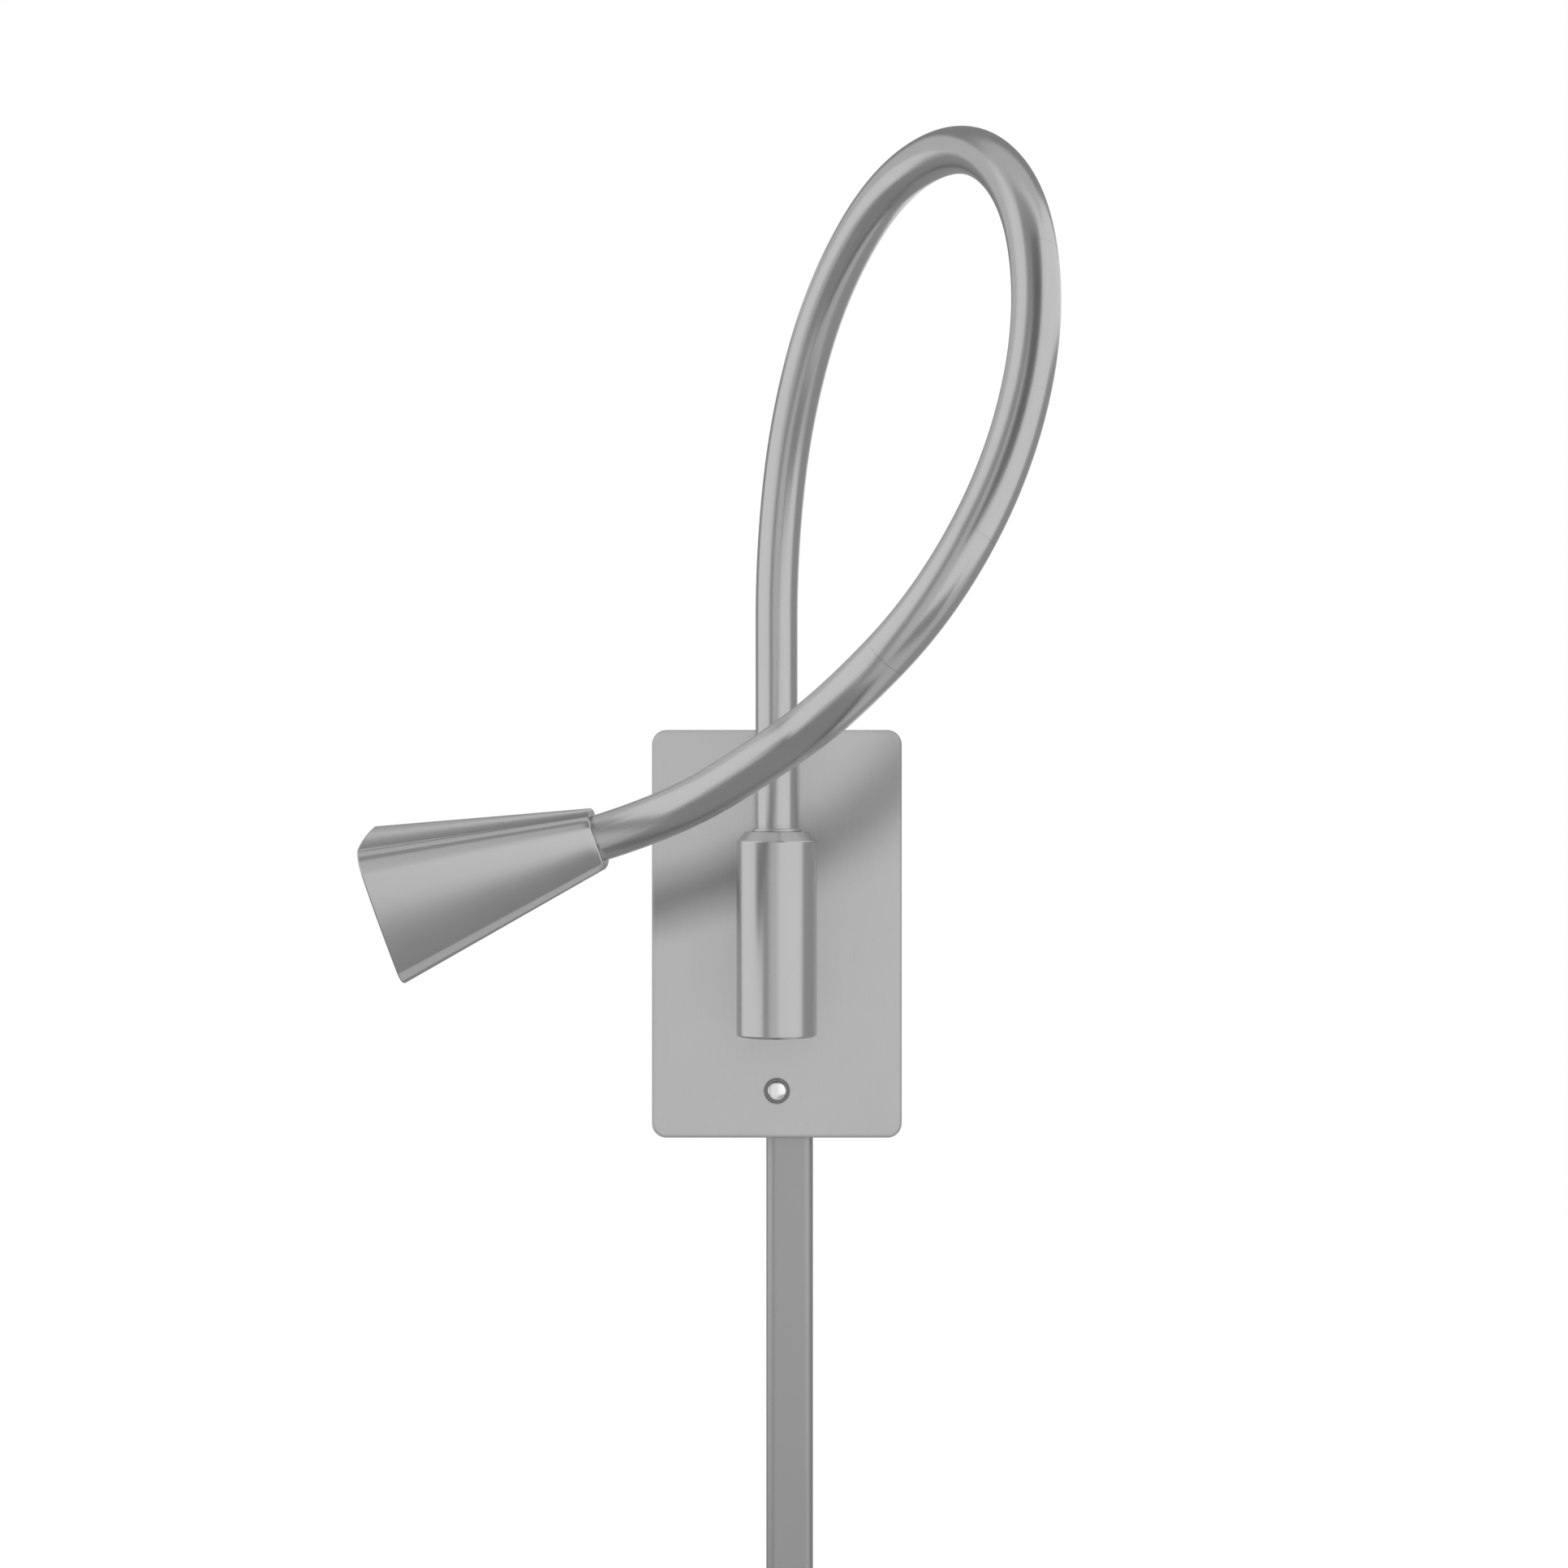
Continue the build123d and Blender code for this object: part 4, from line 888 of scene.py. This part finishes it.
def head_ring(along, inset=0.0):
    """The head's section at one place along its axis: a rounded square with bowed sides.

    The corner that faces up and forward is rounder outside than the other three.
    """
    share = along / head_length
    half = (small_side + (mouth_side - small_side) * share) / 2 - inset
    corner = small_corner + (mouth_corner - small_corner) * share - inset
    crease = corner
    if inset < head_wall / 2:
        crease = small_crease + (mouth_crease - small_crease) * share - inset
    bow = small_bow + (mouth_bow - small_bow) * share
    side_r = (half ** 2 + bow ** 2) / (2 * bow)
    side_centre = half + bow - side_r
    rounds = []
    for radius in (crease, corner, corner, corner):
        radius = max(radius, least_round)
        centre = (side_centre + math.sqrt(2 * (side_r - radius) ** 2 - side_centre ** 2)) / 2
        rounds.append((radius, centre, math.atan2(centre, centre - side_centre)))
    points = []
    for quarter in range(4):
        turn = Matrix.Rotation(quarter * math.pi / 2, 2)
        first = -rounds[quarter - 1][2]
        radius, centre, last = rounds[quarter]
        for step in range(side_steps + 1):
            angle = first + (last - first) * step / side_steps
            on_side = Vector((side_centre + side_r * math.cos(angle), side_r * math.sin(angle)))
            points.append(turn @ on_side)
        for step in range(1, corner_steps):
            angle = last + (math.pi / 2 - 2 * last) * step / corner_steps
            around = Vector((math.cos(angle), math.sin(angle))) * radius
            points.append(turn @ (Vector((centre, centre)) + around))
    return [(point.x, point.y, along) for point in points]


# One ring half way round each arc rounds the edges of the small end and the mouth.
outer_steps, inner_steps = 24, 8
end_round, end_arc_along, end_arc_in = 0.0004, 0.00012, 0.00014
mouth_round, mouth_arc_in = 0.0003, 0.00018
inner_l = head_length - head_end
shell_rings = [(0, end_round), (end_arc_along, end_arc_in), (end_round, 0)]
shell_rings += [(head_length * step / outer_steps, 0) for step in range(1, outer_steps)]
shell_rings += [(head_length - mouth_round, 0), (head_length, mouth_arc_in)]
shell_rings += [(head_length, head_wall - mouth_arc_in), (head_length - mouth_round, head_wall)]
shell_rings += [(head_end + inner_l * step / inner_steps, head_wall)
                for step in range(inner_steps - 1, -1, -1)]
shell = skin("head_shell_cast", [head_ring(along, inset) for along, inset in shell_rings])
ferrule_seat = lathe("ferrule_seat", [
    (0, -spare), (ferrule_r, -spare), (ferrule_r, seat_depth), (thread_r, seat_depth),
    (thread_r, head_end + spare), (0, head_end + spare)])
head_finish = metal("satin_nickel_head", 0.52, 0.21, stretch=(1, 1, 0.03), line_scale=3000.0, bump=0.02,
                    tone_change=0.02, roughness_change=0.03)
add_piece("head_shell_cast", settle(cut(shell, ferrule_seat), head_finish, head_place),
          "head", "satin_nickel", "head_shell")
dress(brass, "head_ferrule", "head_nut")

# Inside the head: a slotted aluminium heat sink, the lamp board with its light source, and a
# clear moulded optic held by a black square ring behind the mouth.
aluminium = metal("milled_aluminium", 0.78, 0.32, tint=(0.98, 0.99, 1.0), follows="Object",
                  stretch=(1, 1, 1), line_scale=1800.0)
dress(aluminium, "heat_sink", "led_board")
phosphor = plastic("phosphor", (0.93, 0.74, 0.22), 0.35, scale=2500.0)
dress(phosphor, "led_chip")
black_plastic = plastic("black_moulding", (0.025, 0.025, 0.026), 0.42)
dress(black_plastic, "lens_ring")

optic_front = 0.0465
optic_back = 0.038
optic_flange_back = optic_front - 0.0015
optic_foot_r, optic_face_r, optic_flange_r = 0.0045, 0.011, 0.0125
optic_round = 0.0002
well_r, well_h, well_round = 0.003, 0.0035, 0.0006
optic = lathe("optic", soften([
    (0, optic_back + well_h, 0), (well_r, optic_back + well_h, well_round),
    (well_r, optic_back, optic_round), (optic_foot_r, optic_back, optic_round),
    (optic_face_r, optic_flange_back, optic_round),
    (optic_flange_r, optic_flange_back, optic_round), (optic_flange_r, optic_front, optic_round),
    (0, optic_front, 0)]))
glass, nodes, links = node_material("clear_optic")
clear = add_node(nodes, "ShaderNodeBsdfPrincipled", {
    "Base Color": (0.96, 0.97, 0.98, 1), "Transmission Weight": 1.0, "IOR": 1.49})
haze_place = nodes.new("ShaderNodeTexCoord")
haze = add_node(nodes, "ShaderNodeTexNoise", {"Scale": 400.0})
haze_range = add_node(nodes, "ShaderNodeMapRange", {"To Min": 0.01, "To Max": 0.06})
connect(links, (haze_place, "Object", haze, "Vector"), (haze, "Fac", haze_range, "Value"),
        (haze_range, "Result", clear, "Roughness"), (clear, 0, nodes["Material Output"], "Surface"))
add_piece("optic", settle(optic, glass, head_place), "head", "lens", "lens")

# Push button: a small chromed cap in a grey collar below the post. Its shoulder stands on a
# coil spring inside a square switch body behind the plate.
collar_r = 0.0034
collar_bore_r = 0.00265
collar_flange_r = 0.005
flange_round = 0.0001
collar_round, collar_bore_round = 0.00015, 0.0002
collar_low, collar_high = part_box("switch_collar")
collar_back, collar_front = -collar_high.y, -collar_low.y
flange_front = collar_back + 0.001
collar = lathe("button_collar", soften([
    (collar_bore_r, collar_back, 0), (collar_flange_r, collar_back, flange_round),
    (collar_flange_r, flange_front, flange_round), (collar_r, flange_front, 0),
    (collar_r, collar_front, collar_round), (collar_bore_r, collar_front, collar_bore_round)]),
    sides=64)
button_spot = (button_place.x, 0, button_place.z)
grey_plastic = plastic("grey_moulding", (0.15, 0.15, 0.155), 0.4)
add_piece("button_collar", settle(collar, grey_plastic, along_y(button_spot)),
          "lamp_base", "black_plastic", "switch_collar")

cap_low, cap_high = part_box("switch_button")
cap_back, cap_front = -cap_high.y, -cap_low.y
shoulder_front = cap_back + 0.0008
button_r, shoulder_r = 0.0025, 0.003
dome_rise, dome_steps = 0.0004, 10
dome = [(button_r * math.sin(angle), cap_front - dome_rise + dome_rise * math.cos(angle))
        for angle in (math.pi / 2 * step / dome_steps for step in range(dome_steps, -1, -1))]
chrome = metal("chromed_cap", 0.95, 0.2, tint=(0.99, 1.0, 1.0), roughness_change=0.03, tone_change=0.02)
cap_outline = [(0, cap_back), (shoulder_r, cap_back), (shoulder_r, shoulder_front),
               (button_r, shoulder_front)]
button = lathe("button_cap", cap_outline + dome, sides=64)
add_piece("button_cap", settle(button, chrome, along_y(button_spot)), "button", "chrome", "switch_button")

coil_tree, given, result = node_tree(
    "coil", ("Turns", "Float"), ("Height", "Float"), ("Coil Radius", "Float"), ("Wire Radius", "Float"),
    ("Material", "Material"))
spiral = add_node(coil_tree.nodes, "GeometryNodeCurveSpiral", {"Resolution": 48})
wire = add_node(coil_tree.nodes, "GeometryNodeCurvePrimitiveCircle", {"Resolution": 16})
wound = add_node(coil_tree.nodes, "GeometryNodeCurveToMesh", {"Fill Caps": True})
connect(coil_tree.links, (given, "Turns", spiral, "Rotations"), (given, "Height", spiral, "Height"),
        (given, "Coil Radius", spiral, "Start Radius"), (given, "Coil Radius", spiral, "End Radius"),
        (given, "Wire Radius", wire, "Radius"), (spiral, 0, wound, "Curve"),
        (wire, 0, wound, "Profile Curve"))
end_tree(coil_tree, given, result, wound)

spring_low, spring_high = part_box("switch_spring")
spring_r = (spring_high.x - spring_low.x) / 2
spring_turns = 3.0
wire_r = 0.00025
spring_floor = spring_high.y
spring_h = spring_high.y - spring_low.y - 2 * wire_r
coil = grown(new_object("switch_coil", bpy.data.meshes.new("switch_coil")), coil_tree, {
    "Turns": spring_turns, "Height": spring_h, "Coil Radius": spring_r - wire_r, "Wire Radius": wire_r,
    "Material": spring_steel})
coil.transform(along_y((button_place.x, spring_floor - wire_r, button_place.z)))
coil.shade_smooth()
coil_piece = add_piece("switch_coil", coil, "lamp_base", "spring_steel", "switch_spring")
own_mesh(coil_piece)
dress(black_plastic, "switch_body")

# Lamp driver: a green circuit board on four brass spacers behind the plate, with a transformer,
# two capacitors and small chips, and the white terminal block where the supply cord ends.
circuit, nodes, links = node_material("circuit_board")
board_place = nodes.new("ShaderNodeTexCoord")
flat_board = add_node(nodes, "ShaderNodeMapping", {"Rotation": (math.radians(90), 0, 0)})
tracks = add_node(nodes, "ShaderNodeTexBrick", {
    "Scale": 220.0, "Mortar Size": 0.06, "Color1": (0.02, 0.16, 0.07, 1),
    "Color2": (0.02, 0.19, 0.08, 1), "Mortar": (0.05, 0.3, 0.12, 1)})
tracks.offset = 0.5
mask = add_node(nodes, "ShaderNodeBsdfPrincipled", {"Roughness": 0.3})
connect(links, (board_place, "Object", flat_board, "Vector"), (flat_board, 0, tracks, "Vector"),
        (tracks, "Color", mask, "Base Color"), (mask, 0, nodes["Material Output"], "Surface"))
add_relief(nodes, links, tracks, "Fac", mask, strength=0.2, distance=0.00003)
dress(circuit, "driver_board")

strap_depth = 0.0015
board_back, board_front = -board_high.y, -board_low.y
screw_inset = 0.003
board_middle = middle("driver_board")
hole_x = (board_high.x - board_low.x) / 2 - screw_inset
hole_z = (board_high.z - board_low.z) / 2 - screw_inset
fixing_places = [((x, 0, board_middle.z + z), (math.pi / 2, 0, 0))
                 for x in (-hole_x, hole_x) for z in (-hole_z, hole_z)]
spacer_bore_r, spacer_r, spacer_round = 0.001, 0.00225, 0.0001
spacer = lathe("spacer", soften([
    (spacer_bore_r, strap_depth, 0), (spacer_r, strap_depth, spacer_round),
    (spacer_r, board_back, spacer_round), (spacer_bore_r, board_back, 0)], steps=2), sides=24)
add_piece("board_spacer_set", set_out("board_spacer_set", spacer, fixing_places, brass),
          "lamp_base", "brass", "board_spacers")

shank_r, shank_point = 0.001, 0.0002
head_r, head_h, head_dome, head_under = 0.0019, 0.0014, 0.0009, 0.0001
screw_top = board_front + head_h
# The cross recess at its floor and its mouth: height, half width and half length.
recess_rings = ((board_front + 0.00063, 0.0001, 0.0005), (screw_top + 0.0001, 0.0002, 0.0011))
recess = skin("recess", [[(x, y, z) for x, y in soften([
    (-w, -l, 0), (w, -l, 0), (w, -w, 0), (l, -w, 0), (l, w, 0), (w, w, 0), (w, l, 0), (-w, l, 0),
    (-w, w, 0), (-l, w, 0), (-l, -w, 0), (-w, -w, 0)])] for z, w, l in recess_rings])
pan_screw = cut(lathe("pan_screw", soften([
    (0, 0, 0), (shank_r, 0, shank_point), (shank_r, board_front, 0), (head_r, board_front, head_under),
    (head_r, screw_top, head_dome), (0, screw_top, 0)]), sides=32), recess)
add_piece("board_screw_set", set_out("board_screw_set", pan_screw, fixing_places, zinc),
          "lamp_base", "zinc_plated_steel", "board_screws")

ferrite = plastic("ferrite_core", (0.045, 0.042, 0.04), 0.55, scale=1400.0, bump=0.15)
dress(ferrite, "driver_transformer")
sleeve = plastic("capacitor_sleeve", (0.03, 0.035, 0.09), 0.28)
cans_low, cans_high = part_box("driver_capacitors")
can_r = (cans_high.y - cans_low.y) / 2
can_l = cans_high.x - cans_low.x
seal_r, sleeve_hole_r, groove_r = can_r * 0.72, can_r * 0.78, can_r * 0.93
groove_start, groove_middle, groove_end = can_l * 0.86, can_l * 0.89, can_l * 0.92
can = lathe("can", soften([
    (0, 0, 0), (seal_r, 0, 0), (sleeve_hole_r, 0.0003, 0.0001), (can_r, 0.0001, 0.0004),
    (can_r, groove_start, 0.0004), (groove_r, groove_middle, 0.0003), (can_r, groove_end, 0.0004),
    (can_r, can_l, 0.0005), (0, can_l, 0)], steps=3), sides=40)
can_depth = (cans_low.y + cans_high.y) / 2
can_places = [((cans_low.x, can_depth, z), (0, math.pi / 2, 0))
              for z in (cans_low.z + can_r, cans_high.z - can_r)]
add_piece("capacitor_pair", set_out("capacitor_pair", can, can_places, sleeve),
          "lamp_base", "capacitor_sleeve", "driver_capacitors")
dress(black_plastic, "driver_chips")
dress(white_plastic, "cord_terminals")

# Cord cover: a thin rolled channel of satin nickel that snaps over the barbed strip on the wall
# and hides the supply cord on its way down from the plate.
cover_w = cover_high.x - cover_low.x
cover_depth = -cover_low.y
cover_foot = -cover_high.y
cover_wall = 0.0009
cover_corner = 0.0027
cover_round, bead_round = 0.0002, 0.0001
bead = 0.00035
bead_depth = 0.00455
inner_x = cover_w / 2 - cover_wall
cover_half = [
    (inner_x, cover_depth - cover_wall, cover_corner - cover_wall),
    (inner_x, bead_depth + 2 * bead, bead_round), (inner_x - bead, bead_depth + bead, bead_round),
    (inner_x, bead_depth, bead_round),
    (inner_x, cover_foot, cover_round), (cover_w / 2, cover_foot, cover_round),
    (cover_w / 2, cover_depth, cover_corner)]
mirrored = [(-x, depth, corner) for x, depth, corner in reversed(cover_half)]
cover_outline = soften(mirrored + cover_half, steps=8)
cover = skin("cord_cover_channel", [[(x, -depth, z) for x, depth in cover_outline]
                                    for z in (cover_low.z, cover_high.z)])
# The cover's satin nickel has a darker tone than the other pieces': painted shade for the dimmer
# surroundings its front reflects.
shaded_cover_finish = metal("satin_nickel_cover", 0.44, 0.42, stretch=(1, 1, 0.01), line_scale=3000.0, bump=0.02,
                     tone_change=0.02)
add_piece("cord_cover_channel", settle(cover, shaded_cover_finish, Matrix.Translation((cover_x, 0, 0))),
          "lamp_base", "satin_nickel", "cord_cover")
strip_finish = metal("nickel_strip", 0.5, 0.34, follows="Object")
dress(strip_finish, "cord_channel")
